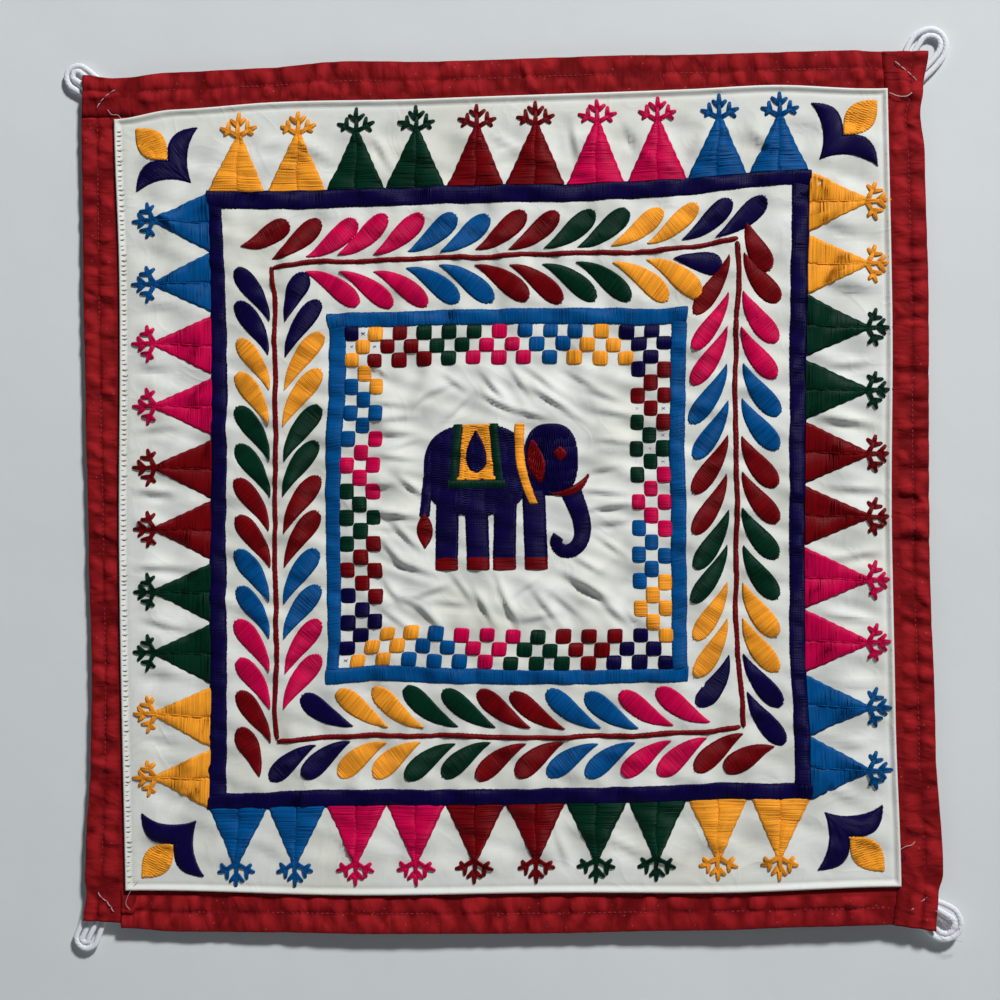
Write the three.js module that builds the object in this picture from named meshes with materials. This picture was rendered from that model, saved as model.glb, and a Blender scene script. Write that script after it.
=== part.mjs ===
// Embroidered wall hanging: a square cotton panel with raised satin stitch, lapped on to
// four folded red border strips, with a doubled cord loop sewn behind each corner.
// Millimetres, +Z up. X runs along the hanging, the embroidered face looks along -Y.
// The origin is at the middle of the top edge, in the plane of the panel's back.
import * as THREE from 'three';

// Cloth thicknesses, and the air between one piece and the next
const PANEL_THICK = 1.2;
const STRIP_THICK = 2.0;
const AIR = 0.3;

// Half sizes of the squares that the pattern is drawn on, before the cloth pulls them askew
const PANEL_HALF = 208.5;
const NAVY_OUT = 163.5;
const NAVY_IN = 155.3;
const STEM = 127;
const BLUE_OUT = 98.1;
const BLUE_IN = 89.9;
const FIELD = 69.2;
const TRIANGLE_PITCH = NAVY_OUT / 5;
const TRIANGLE_TIP = 196.2;

// Heights of the raised work above the ground cloth
const SATIN_RISE = 0.8;
const STEM_RISE = 0.7;
const TRIANGLE_RISE = 0.9;
const ELEPHANT_RISE = 1.1;
const RAMP = 0.5;

// The hem: a turned edge with a sewn groove inside it
const HEM_LIP = 0.6;
const HEM_ROLL = 1.6;
const HEM_GROOVE = 1.0;

// Half the hanging's width and height, and its top edge above the centre of the pattern
const HALF_WIDTH = 230;
const HALF_HEIGHT = 232;
const TOP_EDGE = 233;

// The way the whole cloth hangs: how far its middle bellies out, its slow rolls, how far the
// lower edge stands forward, and how much more the lower right corner does
const BELLY = 2.2;
const ROLL = 0.8;
const ROLL_ACROSS = 33;
const ROLL_UP = 41;
const LIFT = 2;
const TWIST = 1.2;

// How far each corner of each square is pulled from its true place: half size, then x and z
// for the top left, top right, bottom right and bottom left corners
const PULLED = [
  { half: FIELD, tl: [5.5, -1], tr: [2.5, -1], br: [2, -4], bl: [4.5, -3.5] },
  { half: BLUE_IN, tl: [7, 0], tr: [3, -1], br: [1, -5], bl: [1.5, -4] },
  { half: BLUE_OUT, tl: [6, -0.5], tr: [3, -0.5], br: [0.5, -3.5], bl: [3, -4.5] },
  { half: STEM, tl: [4.5, -3], tr: [2, 5], br: [0, 1], bl: [5, -5.5] },
  { half: NAVY_IN, tl: [5.5, 1], tr: [3, 5.5], br: [-1, -0.5], bl: [5, -5.5] },
  { half: NAVY_OUT, tl: [6.5, 2.5], tr: [4, 5], br: [-1, -0.5], bl: [4, -6] },
  { half: PANEL_HALF, tl: [-0.5, -1.5], tr: [0, 2], br: [0, -1], bl: [2, -5] },
];

// Outward bow of the panel's sides: fraction along the side, then the bow. The top and
// bottom sides run from left to right, the left and right ones from bottom to top.
const PANEL_BOW = {
  top: [[0, 0], [0.08, 4], [0.22, 5.8], [0.42, 4.3], [0.75, 3.7], [0.84, 4.2], [1, 0]],
  bottom: [[0, 0], [0.33, 3], [0.57, 2.3], [0.75, 2.7], [1, 0]],
  left: [[0, 0], [0.42, 0.8], [0.8, -1.7], [1, 0]],
  right: [[0, 0], [0.22, -1.6], [0.42, -1.8], [0.73, 0.4], [1, 0]],
};

// The border strips: outer edge end to end with its bow, then the hidden inner edge as
// corner points, and how much of the width lies flat under the panel
const STRIPS = {
  border_top: {
    outer: [[-226.5, 232.5], [205.7, 230.7]],
    bow: [[0, 0], [0.04, -2.2], [0.12, 0.2], [0.23, 0.9], [0.33, 3.2], [0.45, 1.7], [0.66, 2.2],
      [0.8, 1.2], [0.96, 1.2], [1, 0]],
    inner: [[-227.5, 208.6], [-203, 208.6], [-190, 205.3], [207.3, 204.8]],
    lap: 9.8,
  },
  border_right: {
    outer: [[226.5, -233], [230.5, 230]],
    bow: [[0, 0], [0.04, 1.2], [0.065, 3.8], [0.22, 0.3], [0.42, -1.6], [0.71, -1.1], [0.88, -2.5],
      [0.93, -4.6], [0.957, -3], [1, 0]],
    inner: [[204.2, -231.5], [207.6, -204.5], [203.5, -196], [203.5, 196], [207.6, 204.5],
      [206, 230.6]],
    lap: 6.8,
  },
  border_bottom: {
    outer: [[-209.2, -234.3], [203.9, -229.9]],
    bow: [[0, 0], [0.08, 2.2], [0.2, 2.6], [0.34, 3.5], [0.54, 3.9], [0.76, 2.4], [0.9, 0.7],
      [1, 0]],
    inner: [[-209.2, -213.6], [-202.6, -212.8], [-201, -206.5], [207.3, -204.8]],
    lap: 9.8,
  },
  border_left: {
    outer: [[-230.5, -230], [-227.7, 208.3]],
    bow: [[0, 0], [0.035, -1.9], [0.05, -0.9], [0.09, -1.6], [0.2, -4.2], [0.3, -5], [0.46, -3.3],
      [0.65, -1.8], [0.8, -0.6], [1, 0]],
    inner: [[-209.5, -231.3], [-209.5, -213.2], [-202.9, -212.3], [-202.9, 208.3]],
    lap: 6.8,
  },
};
const STRIP_STEP = 9.5;

// The crosswise puckers of the strips, as waves: length over 2 pi, share, and start
const PUCKERS = [
  { length: 5.1, share: 0.4, start: 0 },
  { length: 7.7, share: 0.35, start: 1.3 },
  { length: 17, share: 0.25, start: 0.4 },
];

// Shape of a strip's face: where its sewn valley lies across the width, how deep it is, and
// how high the cloth stands on either side of it
const VALLEY_AT = 0.36;
const VALLEY = 0.45;
const CREST = 0.75;

// The loops: a point between the legs at the cloth's edge, the direction the loop points in,
// the tip's distance, half the spread of its centre line, and the length of the round end
const LOOPS = {
  loop_tl: { at: [-225.5, 228.6], turn: 143, tip: 11, spread: 4.4, round: 5 },
  loop_tr: { at: [224.7, 223.9], turn: 55, tip: 19.4, spread: 7.4, round: 9 },
  loop_br: { at: [226.6, -226.5], turn: -35, tip: 12.6, spread: 6.7, round: 7.5 },
  loop_bl: { at: [-225.6, -230.9], turn: -114, tip: 14.3, spread: 3.7, round: 3.7 },
};
const CORD_WIDTH = 3.2;
const CORD_DEPTH = 2.4;
const LEG_LENGTH = 18;
const LEG_SPREAD = 3.6;

// Soft ridges and troughs of the ground cloth around the elephant: centre, direction in
// degrees, half length, half width and height
const CREASES = [
  { at: [10, 56], turn: 118, long: 14, wide: 4.5, rise: 1.3 },
  { at: [-1, 50], turn: 62, long: 16, wide: 5, rise: 1.2 },
  { at: [28, 50], turn: 140, long: 16, wide: 5, rise: 0.9 },
  { at: [-52, 12], turn: 172, long: 14, wide: 4.5, rise: 1.2 },
  { at: [-52, -10], turn: 8, long: 15, wide: 5, rise: 1.1 },
  { at: [-50, -34], turn: 165, long: 15, wide: 5, rise: 0.9 },
  { at: [0, -54], turn: 128, long: 17, wide: 5, rise: 1.4 },
  { at: [24, -56], turn: 60, long: 13, wide: 5, rise: 1 },
  { at: [50, -44], turn: 35, long: 16, wide: 5, rise: 1.2 },
  { at: [57, -6], turn: 175, long: 12, wide: 5, rise: 1 },
  { at: [56, 22], turn: 15, long: 12, wide: 5, rise: 0.8 },
];

// The elephant's raised parts as rounded bars: two ends and a half width. The legs are two
// mirrored pairs, each a little wider at the feet.
const ELEPHANT = {
  body: { from: [-16, 13], to: [-6, 13], half: 24 },
  head: { from: [28, 21], to: [28, 15], half: 14 },
  tail: { from: [-39, 8], to: [-40, -26], half: 3 },
  hindLeg: { from: [-27.5, -8], to: [-28.5, -35], half: 6 },
  midLeg: { from: [-12.5, -8], to: [-11.5, -35], half: 6 },
  foreLeg: { from: [3.5, -8], to: [2.5, -35], half: 6 },
  frontLeg: { from: [18.5, 0], to: [19.5, -35], half: 6 },
  trunk: { from: [39, 0], to: [43, -22], half: 5 },
  trunkEnd: { from: [42, -28], to: [34, -30], half: 4 },
};

const FACE_COLOURS = { panel: 0xdadbd4, border: 0x84151c, cord: 0xe6e8ee };

// Eased interpolation in a table of [fraction, value] rows
function along(table, f) {
  const clamped = Math.min(Math.max(f, 0), 1);
  let row = 1;
  while (row < table.length - 1 && table[row][0] < clamped) row += 1;
  const [f0, v0] = table[row - 1];
  const [f1, v1] = table[row];
  const t = (clamped - f0) / (f1 - f0);
  const eased = (1 - Math.cos(Math.PI * t)) / 2;
  return v0 + (v1 - v0) * eased;
}

// Depth of the hanging's back surface: a shallow belly, slow rolls, and a lower edge that
// stands forward
function drape(x, z) {
  const u = x / HALF_WIDTH;
  const down = (1 - z / HALF_HEIGHT) / 2;
  const belly = BELLY * (1 - u * u) * 4 * down * (1 - down);
  const roll = ROLL * Math.sin(x / ROLL_ACROSS + 0.5) * Math.cos(z / ROLL_UP - 0.4);
  return roll - belly - LIFT * down * down - TWIST * u * down;
}

// Shift of the point (a, b), each from -1 to 1, between a square's four pulled corners
function cornerShift(square, a, b, axis) {
  const left = (1 - a) / 2;
  const right = (1 + a) / 2;
  const upper = (1 + b) / 2;
  const lower = (1 - b) / 2;
  return upper * (left * square.tl[axis] + right * square.tr[axis])
    + lower * (left * square.bl[axis] + right * square.br[axis]);
}

// Bow of the panel's four sides, faded out towards the navy frame
function sideBow(s, t, reach) {
  const fade = Math.max(0, (reach - NAVY_OUT) / (PANEL_HALF - NAVY_OUT)) ** 2;
  if (fade === 0) return [0, 0];
  const a = (s / reach + 1) / 2;
  const b = (t / reach + 1) / 2;
  const dx = along(PANEL_BOW.right, b) * Math.max(0, s / reach) ** 4
    - along(PANEL_BOW.left, b) * Math.max(0, -s / reach) ** 4;
  const dz = along(PANEL_BOW.top, a) * Math.max(0, t / reach) ** 4
    - along(PANEL_BOW.bottom, a) * Math.max(0, -t / reach) ** 4;
  return [dx * fade, dz * fade];
}

// Place of a point of the drawn pattern on the real, uneven cloth
function uneven(s, t) {
  const reach = Math.max(Math.abs(s), Math.abs(t), 1e-6);
  let outer = PULLED.findIndex((square) => square.half >= reach - 1e-6);
  if (outer < 0) outer = PULLED.length - 1;
  const inner = Math.max(outer - 1, 0);
  const span = PULLED[outer].half - PULLED[inner].half;
  const mix = span > 0 ? (reach - PULLED[inner].half) / span : 0;
  const scale = Math.max(reach, FIELD);
  const shift = [0, 1].map((axis) => (1 - mix) * cornerShift(PULLED[inner], s / scale, t / scale, axis)
    + mix * cornerShift(PULLED[outer], s / scale, t / scale, axis));
  const bow = sideBow(s, t, reach);
  return [s + shift[0] + bow[0], t + shift[1] + bow[1]];
}

function distanceToBar([x, z], bar) {
  const dx = bar.to[0] - bar.from[0];
  const dz = bar.to[1] - bar.from[1];
  const t = ((x - bar.from[0]) * dx + (z - bar.from[1]) * dz) / (dx * dx + dz * dz);
  const held = Math.min(Math.max(t, 0), 1);
  return Math.hypot(x - bar.from[0] - held * dx, z - bar.from[1] - held * dz);
}

function elephantRise(x, z) {
  const edge = 2;
  const rises = Object.values(ELEPHANT).map((bar) => {
    const inside = bar.half + edge - distanceToBar([x, z], bar);
    return Math.min(Math.max(inside / (2 * edge), 0), 1);
  });
  return ELEPHANT_RISE * Math.max(...rises);
}

function creaseRise(x, z) {
  return CREASES.reduce((sum, crease) => {
    const turn = THREE.MathUtils.degToRad(crease.turn);
    const dx = x - crease.at[0];
    const dz = z - crease.at[1];
    const lengthwise = (dx * Math.cos(turn) + dz * Math.sin(turn)) / crease.long;
    const crosswise = (dz * Math.cos(turn) - dx * Math.sin(turn)) / crease.wide;
    return sum + crease.rise * Math.exp(-(lengthwise ** 2) - crosswise ** 2);
  }, 0);
}

// Height of the triangles that stand on the navy frame, at a point of the drawn pattern
function triangleRise(s, t) {
  const reach = Math.max(Math.abs(s), Math.abs(t));
  const sideways = Math.abs(s) > Math.abs(t) ? t : s;
  if (reach < NAVY_OUT || Math.abs(sideways) > NAVY_OUT) return 0;
  const up = (reach - NAVY_OUT) / (TRIANGLE_TIP - NAVY_OUT);
  const offCentre = Math.abs((((sideways / TRIANGLE_PITCH) % 1) + 1) % 1 - 0.5) * 2;
  return offCentre < 0.3 && up < 0.9 ? TRIANGLE_RISE : 0;
}

function hemRise(reach) {
  const inside = PANEL_HALF - reach;
  if (inside < 1) return HEM_LIP - PANEL_THICK;
  if (inside < 3) return HEM_ROLL - PANEL_THICK;
  if (inside < 6) return HEM_GROOVE - PANEL_THICK;
  return 0;
}

// Height of the panel's face above its plain thickness, at a point of the drawn pattern
function relief(s, t) {
  const reach = Math.max(Math.abs(s), Math.abs(t));
  const onFrame = (reach > BLUE_IN && reach < BLUE_OUT) || (reach > NAVY_IN && reach < NAVY_OUT);
  if (onFrame) return SATIN_RISE;
  if (Math.abs(reach - STEM) < 0.1) return STEM_RISE;
  if (reach > NAVY_OUT) return triangleRise(s, t) + hemRise(reach);
  if (reach > FIELD) return 0;
  const [x, z] = uneven(s, t);
  const raised = elephantRise(x, z);
  return raised > 0.3 ? raised : creaseRise(x, z);
}

// Grid lines of the panel: closer in the middle for the elephant, then along every edge of
// the raised work
function gridLines() {
  const step = TRIANGLE_PITCH / 4;
  const positive = [1, 2, 3, 4, 5, 6, 7, 8, 10].map((count) => count * step);
  positive.push(BLUE_IN - RAMP, BLUE_IN + RAMP, BLUE_OUT - RAMP, BLUE_OUT + RAMP, 14 * step);
  positive.push(STEM - 1.2, STEM, STEM + 1.2, 18 * step);
  positive.push(NAVY_IN - RAMP, NAVY_IN + RAMP, NAVY_OUT - RAMP, NAVY_OUT + RAMP);
  positive.push(22 * step, TRIANGLE_TIP, PANEL_HALF - 5, PANEL_HALF - 1.6, PANEL_HALF);
  const negative = positive.map((value) => -value).reverse();
  return [...negative, 0, ...positive];
}

// A geometry from points and triangles, turned so that its faces point out
function solid(points, triangles) {
  const volume = triangles.reduce((sum, [a, b, c]) => {
    const cross = new THREE.Vector3().crossVectors(points[b], points[c]);
    return sum + points[a].dot(cross);
  }, 0);
  const faces = volume > 0 ? triangles : triangles.map(([a, b, c]) => [a, c, b]);
  const geometry = new THREE.BufferGeometry();
  geometry.setFromPoints(points);
  geometry.setIndex(faces.flat());
  geometry.computeVertexNormals();
  return geometry;
}

// The panel: a fine face, a hemmed edge and a back with half as many grid lines
function panelGeometry() {
  const lines = gridLines();
  const last = lines.length - 1;
  const points = [];
  const index = new Map();
  const triangles = [];
  const vertex = (side, i, j) => {
    const key = `${side} ${i} ${j}`;
    if (!index.has(key)) {
      const [x, z] = uneven(lines[i], lines[j]);
      const lift = side === 'face' ? PANEL_THICK + relief(lines[i], lines[j]) : 0;
      index.set(key, points.length);
      points.push(new THREE.Vector3(x, drape(x, z) - lift, z));
    }
    return index.get(key);
  };
  for (let i = 0; i < last; i += 1) {
    for (let j = 0; j < last; j += 1) {
      const corners = [[i, j], [i + 1, j], [i + 1, j + 1], [i, j + 1]];
      const [a, b, c, d] = corners.map(([p, q]) => vertex('face', p, q));
      const rising = (i < last / 2) === (j < last / 2);
      if (rising) triangles.push([a, b, c], [a, c, d]);
      else triangles.push([a, b, d], [b, c, d]);
    }
  }
  for (let k = 0; k < last; k += 1) {
    const sides = [[k, 0, k + 1, 0], [last, k, last, k + 1], [k + 1, last, k, last], [0, k + 1, 0, k]];
    sides.forEach(([i0, j0, i1, j1]) => {
      const face = [vertex('face', i0, j0), vertex('face', i1, j1)];
      const back = [vertex('back', i0, j0), vertex('back', i1, j1)];
      triangles.push([face[0], back[1], face[1]], [face[0], back[0], back[1]]);
    });
  }
  for (let i = 0; i < last; i += 2) {
    for (let j = 0; j < last; j += 2) triangles.push(...backBlock(i, j, last, vertex));
  }
  return solid(points, triangles);
}

// One block of the panel's back, two grid lines across, with every line's point where the
// block meets the panel's edge, as a fan from its corner nearest the middle
function backBlock(i, j, last, vertex) {
  const ring = [[i, j]];
  if (j === 0) ring.push([i + 1, j]);
  ring.push([i + 2, j]);
  if (i + 2 === last) ring.push([i + 2, j + 1]);
  ring.push([i + 2, j + 2]);
  if (j + 2 === last) ring.push([i + 1, j + 2]);
  ring.push([i, j + 2]);
  if (i === 0) ring.push([i, j + 1]);
  const apex = [i < last / 2 ? i + 2 : i, j < last / 2 ? j + 2 : j];
  const start = ring.findIndex(([p, q]) => p === apex[0] && q === apex[1]);
  const turned = [...ring.slice(start), ...ring.slice(0, start)].map(([p, q]) => vertex('back', p, q));
  const fan = [];
  for (let k = 1; k < turned.length - 1; k += 1) fan.push([turned[0], turned[k + 1], turned[k]]);
  return fan;
}

// A closed solid through a row of rings with equal numbers of points, and a flat cap at
// each end
function loft(rings) {
  const count = rings[0].length;
  const points = rings.flat();
  const triangles = [];
  for (let r = 0; r < rings.length - 1; r += 1) {
    for (let k = 0; k < count; k += 1) {
      const next = (k + 1) % count;
      const a = r * count + k;
      const b = r * count + next;
      triangles.push([a, b, b + count], [a, b + count, a + count]);
    }
  }
  const endStart = (rings.length - 1) * count;
  for (let k = 1; k < count - 1; k += 1) {
    triangles.push([0, k + 1, k], [endStart, endStart + k, endStart + k + 1]);
  }
  return solid(points, triangles);
}

// Crosswise puckers of a border strip: an uneven run of small rises, from 0 to 1
function pucker(length) {
  const waves = PUCKERS.map((wave) => wave.share * Math.sin(length / wave.length + wave.start));
  return 0.5 + waves.reduce((sum, height) => sum + height, 0) / 2;
}

// Cross-section of a strip as distances from its outer fold and depths behind its face:
// a crest, the sewn valley, a second crest, then flat under the panel
function stripSection(width, lap, rise) {
  const valley = VALLEY_AT * width;
  const flat = width - lap;
  const crest = CREST * (0.55 + 0.9 * rise);
  return [
    [0, STRIP_THICK / 2], [0.9, 0.1], [valley * 0.55, -crest], [valley - 1, -0.1],
    [valley, VALLEY], [valley + 1, -0.1], [(valley + flat) / 2, -crest], [flat, 0],
    [width - 0.6, 0], [width, STRIP_THICK / 2], [width - 0.6, STRIP_THICK],
    [width * 0.5, STRIP_THICK], [0.9, STRIP_THICK],
  ];
}

function between(a, b, f) {
  return [a[0] + (b[0] - a[0]) * f, a[1] + (b[1] - a[1]) * f];
}

// Point at a fraction of a run of straight edges, measured along the strip's main direction
function pointOnEdge(corners, f, axis) {
  const first = corners[0][axis];
  const goal = first + (corners[corners.length - 1][axis] - first) * f;
  let row = 1;
  while (row < corners.length - 1 && corners[row][axis] < goal) row += 1;
  const span = corners[row][axis] - corners[row - 1][axis];
  return between(corners[row - 1], corners[row], (goal - corners[row - 1][axis]) / span);
}

function stripGeometry(strip) {
  const [start, end] = strip.outer;
  const upright = Math.abs(end[1] - start[1]) > Math.abs(end[0] - start[0]);
  const axis = upright ? 1 : 0;
  const run = Math.hypot(end[0] - start[0], end[1] - start[1]);
  const outward = between([0, 0], [end[1] - start[1], start[0] - end[0]], 1 / run);
  const firstInner = strip.inner[0];
  const side = Math.sign((start[0] - firstInner[0]) * outward[0] + (start[1] - firstInner[1]) * outward[1]);
  const innerRun = strip.inner[strip.inner.length - 1][axis] - firstInner[axis];
  const stations = strip.inner.slice(1, -1).map((corner) => (corner[axis] - firstInner[axis]) / innerRun);
  const steps = Math.round(run / STRIP_STEP);
  for (let k = 0; k <= steps; k += 1) {
    const f = k / steps;
    if (stations.every((other) => Math.abs(other - f) > 0.2 / steps)) stations.push(f);
  }
  stations.sort((a, b) => a - b);
  const rings = stations.map((f) => {
    const straight = between(start, end, f);
    const bow = along(strip.bow, f) * side;
    const outer = [straight[0] + bow * outward[0], straight[1] + bow * outward[1]];
    const inner = pointOnEdge(strip.inner, f, axis);
    const width = Math.hypot(inner[0] - outer[0], inner[1] - outer[1]);
    return stripSection(width, strip.lap, pucker(f * run)).map(([inset, depth]) => {
      const [x, z] = between(outer, inner, inset / width);
      return new THREE.Vector3(x, drape(x, z) + AIR + depth, z);
    });
  });
  return loft(rings);
}

// Cross-section of the doubled cord, round from its inner edge: two strands side by side
// with a groove between them
function cordSection() {
  const flank = CORD_WIDTH / 2;
  const full = CORD_DEPTH / 2;
  const upper = [
    [-CORD_WIDTH, 0], [-CORD_WIDTH * 0.82, full * 0.75], [-flank, full], [0, full * 0.55],
    [flank, full], [CORD_WIDTH * 0.82, full * 0.75],
  ];
  const lower = upper.map(([across, depth]) => [-across, -depth]);
  return [...upper, ...lower];
}

// Centre line of a loop, as distances along its direction and to its left: in along one
// leg, round the end as half an ellipse, and back along the other leg
function loopLine(loop) {
  const straight = loop.tip - loop.round;
  const leg = [];
  for (let k = 0; k < 4; k += 1) {
    const f = k / 4;
    const eased = f * f * (3 - 2 * f);
    leg.push([-LEG_LENGTH + f * (straight + LEG_LENGTH), LEG_SPREAD + eased * (loop.spread - LEG_SPREAD)]);
  }
  const bend = [];
  for (let k = 0; k <= 12; k += 1) {
    const turn = (Math.PI * k) / 12;
    bend.push([straight + loop.round * Math.sin(turn), loop.spread * Math.cos(turn)]);
  }
  const back = leg.map(([ahead, left]) => [ahead, -left]).reverse();
  return [...leg, ...bend, ...back];
}

function loopGeometry(loop) {
  const turn = THREE.MathUtils.degToRad(loop.turn);
  const ahead = [Math.cos(turn), Math.sin(turn)];
  const left = [-ahead[1], ahead[0]];
  const line = loopLine(loop);
  const behind = AIR + STRIP_THICK + 1.5 * AIR + CORD_DEPTH / 2;
  const rings = line.map(([forward, sideways], k) => {
    const before = line[Math.max(k - 1, 0)];
    const after = line[Math.min(k + 1, line.length - 1)];
    const length = Math.hypot(after[0] - before[0], after[1] - before[1]);
    const normal = [-(after[1] - before[1]) / length, (after[0] - before[0]) / length];
    return cordSection().map(([across, depth]) => {
      const reach = forward + across * normal[0];
      const aside = sideways + across * normal[1];
      const x = loop.at[0] + reach * ahead[0] + aside * left[0];
      const z = loop.at[1] + reach * ahead[1] + aside * left[1];
      return new THREE.Vector3(x, drape(x, z) + behind + depth, z);
    });
  });
  return loft(rings);
}

function cloth(name, geometry, colour, roughness) {
  const material = new THREE.MeshStandardMaterial({ color: colour, roughness, metalness: 0 });
  const mesh = new THREE.Mesh(geometry, material);
  mesh.name = name;
  return mesh;
}

const hanging = new THREE.Group();
hanging.position.z = -TOP_EDGE;
hanging.add(cloth('panel', panelGeometry(), FACE_COLOURS.panel, 0.85));
Object.entries(STRIPS).forEach(([name, strip]) => {
  hanging.add(cloth(name, stripGeometry(strip), FACE_COLOURS.border, 0.8));
});
Object.entries(LOOPS).forEach(([name, loop]) => {
  hanging.add(cloth(name, loopGeometry(loop), FACE_COLOURS.cord, 0.75));
});

export default hanging;
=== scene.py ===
"""Embroidered wall hanging: an off-white cotton panel worked in satin stitch, sewn on top of
four folded red strips, with a doubled cord loop at each corner.

Shapes are worked out in millimetres, with x to the right and z up from the middle of the
pattern, and y towards the wall. make_mesh turns them to metres and hangs them from the top
edge, which is the frame's origin. The pattern is drawn on true squares, in coordinates
(s, t), and uneven() carries it on to the real cloth. On each side of the squares a place is
also given as (a, o): a runs along the side clockwise and o points outwards.
"""

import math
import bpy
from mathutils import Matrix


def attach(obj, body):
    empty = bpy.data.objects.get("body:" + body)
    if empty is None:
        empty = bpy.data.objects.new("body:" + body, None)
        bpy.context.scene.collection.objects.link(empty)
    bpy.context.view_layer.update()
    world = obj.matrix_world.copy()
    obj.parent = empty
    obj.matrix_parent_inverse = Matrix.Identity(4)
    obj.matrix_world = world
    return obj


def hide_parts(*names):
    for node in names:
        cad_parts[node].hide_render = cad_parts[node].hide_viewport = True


bl_info = {
    "name": "Embroidered Wall Hanging",
    "version": (1, 0, 0),
    "blender": (4, 5, 0),
    "location": "View3D > Sidebar > Hanging",
    "description": "Builds a satin-stitched cotton wall hanging round its frame",
    "category": "Add Mesh",
}

import bpy
import numpy as np
from mathutils import Quaternion, Vector

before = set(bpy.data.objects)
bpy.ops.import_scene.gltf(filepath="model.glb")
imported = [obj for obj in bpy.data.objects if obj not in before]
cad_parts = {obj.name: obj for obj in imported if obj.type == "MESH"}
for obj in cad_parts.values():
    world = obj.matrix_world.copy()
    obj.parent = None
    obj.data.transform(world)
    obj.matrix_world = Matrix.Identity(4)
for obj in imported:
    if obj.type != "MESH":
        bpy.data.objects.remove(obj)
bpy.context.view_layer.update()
MM = 0.001

# Cloth thicknesses, and the air between one piece and the next
PANEL_THICK = 1.2
STRIP_THICK = 2.0
AIR = 0.3

# Half sizes of the squares that the pattern is drawn on
PANEL_HALF = 208.5
NAVY_OUT = 163.5
NAVY_IN = 155.3
STEM = 127.0
BLUE_OUT = 98.1
BLUE_IN = 89.9
FIELD = 69.2
TRIANGLE_PITCH = NAVY_OUT / 5

# The way the whole cloth hangs
HALF_WIDTH = 230.0
HALF_HEIGHT = 232.0
TOP_EDGE = 233.0
BELLY = 2.2
ROLL = 0.8
ROLL_ACROSS = 33.0
ROLL_UP = 41.0
LIFT = 2.0
TWIST = 1.2

# How far each corner of each square is pulled from its true place: half size, then x and z
# for the top left, top right, bottom right and bottom left corners
PULLED = (
    (FIELD, (5.5, -1), (2.5, -1), (2, -4), (4.5, -3.5)),
    (BLUE_IN, (7, 0), (3, -1), (1, -5), (1.5, -4)),
    (BLUE_OUT, (6, -0.5), (3, -0.5), (0.5, -3.5), (3, -4.5)),
    (STEM, (4.5, -3), (2, 5), (0, 1), (5, -5.5)),
    (NAVY_IN, (5.5, 1), (3, 5.5), (-1, -0.5), (5, -5.5)),
    (NAVY_OUT, (6.5, 2.5), (4, 5), (-1, -0.5), (4, -6)),
    (PANEL_HALF, (-0.5, -1.5), (0, 2), (0, -1), (2, -5)),
)

# Outward bow of each square's sides: fraction along the side, from left or from below, then
# the bow
BLUE_BOW = {
    "top": ((0, 0), (0.35, 0.5), (0.65, 0.3), (0.8, -0.6), (0.9, -1.4), (1, -0.6)),
    "bottom": ((0, -0.6), (0.14, -1.9), (0.4, 0), (0.65, 0.8), (0.9, 0.3), (1, 0)),
    "left": ((0, -0.6), (0.13, -1.5), (0.4, -0.2), (0.58, 0.2), (0.8, -1.3), (0.92, -1.6), (1, -0.8)),
    "right": ((0, 0), (0.4, -0.4), (0.67, -1.2), (0.85, -0.4), (1, 0)),
}
STEM_BOW = {
    "top": ((0, 0), (0.09, 1), (0.2, -0.4), (0.35, 0), (0.5, -1.5), (0.7, -3), (0.8, -3.1), (0.9, -2), (1, 0)),
    "bottom": ((0, 0), (0.17, -2), (0.3, 0), (0.78, 3), (0.9, 1.3), (1, 0)),
    "left": ((0, 0), (0.08, 0.5), (0.2, -0.2), (0.5, -0.8), (0.87, -2), (0.93, -1.6), (1, 0)),
    "right": ((0, 0), (0.05, -0.3), (0.17, -2.4), (0.5, -2.3), (0.8, -1.8), (0.93, -0.4), (1, 0)),
}
NAVY_IN_BOW = {
    "top": ((0, 0), (0.12, -2), (0.3, -2.2), (0.45, -2.8), (0.65, -4.5), (0.8, -3.5), (0.94, -0.4), (1, 0)),
    "bottom": ((0, 0), (0.2, -1.1), (0.43, 0), (0.73, 0), (0.86, -1.2), (1, -0.3)),
    "left": ((0, -0.5), (0.22, -1.5), (0.42, -1.1), (0.6, -2.1), (0.74, -2.7), (0.9, -1.8), (1, -0.3)),
    "right": ((0, 0), (0.12, -0.6), (0.21, -2.6), (0.43, -2.6), (0.7, -2.2), (0.93, -1), (1, -0.3)),
}
NAVY_OUT_BOW = {
    "top": ((0, 0), (0.15, -1.5), (0.3, -1.6), (0.45, -2.2), (0.65, -3.4), (0.8, -2.4), (0.91, -0.3), (1, 0)),
    "bottom": ((0, 0), (0.2, -0.5), (0.43, 0), (0.73, 0), (0.86, -0.7), (1, 0)),
    "left": ((0, 0), (0.22, -1.1), (0.42, -0.9), (0.6, -1.6), (0.74, -2), (0.9, -1), (1, 0)),
    "right": ((0, 0), (0.12, -0.7), (0.21, -2.8), (0.43, -3.3), (0.7, -2.4), (0.93, -0.8), (1, 0)),
}
PANEL_BOW = {
    "top": ((0, 0), (0.08, 4), (0.22, 5.8), (0.42, 4.3), (0.75, 3.7), (0.84, 4.2), (1, 0)),
    "bottom": ((0, 0), (0.33, 3), (0.57, 2.3), (0.75, 2.7), (1, 0)),
    "left": ((0, 0), (0.42, 0.8), (0.8, -1.7), (1, 0)),
    "right": ((0, 0), (0.22, -1.6), (0.42, -1.8), (0.73, 0.4), (1, 0)),
}
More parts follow.
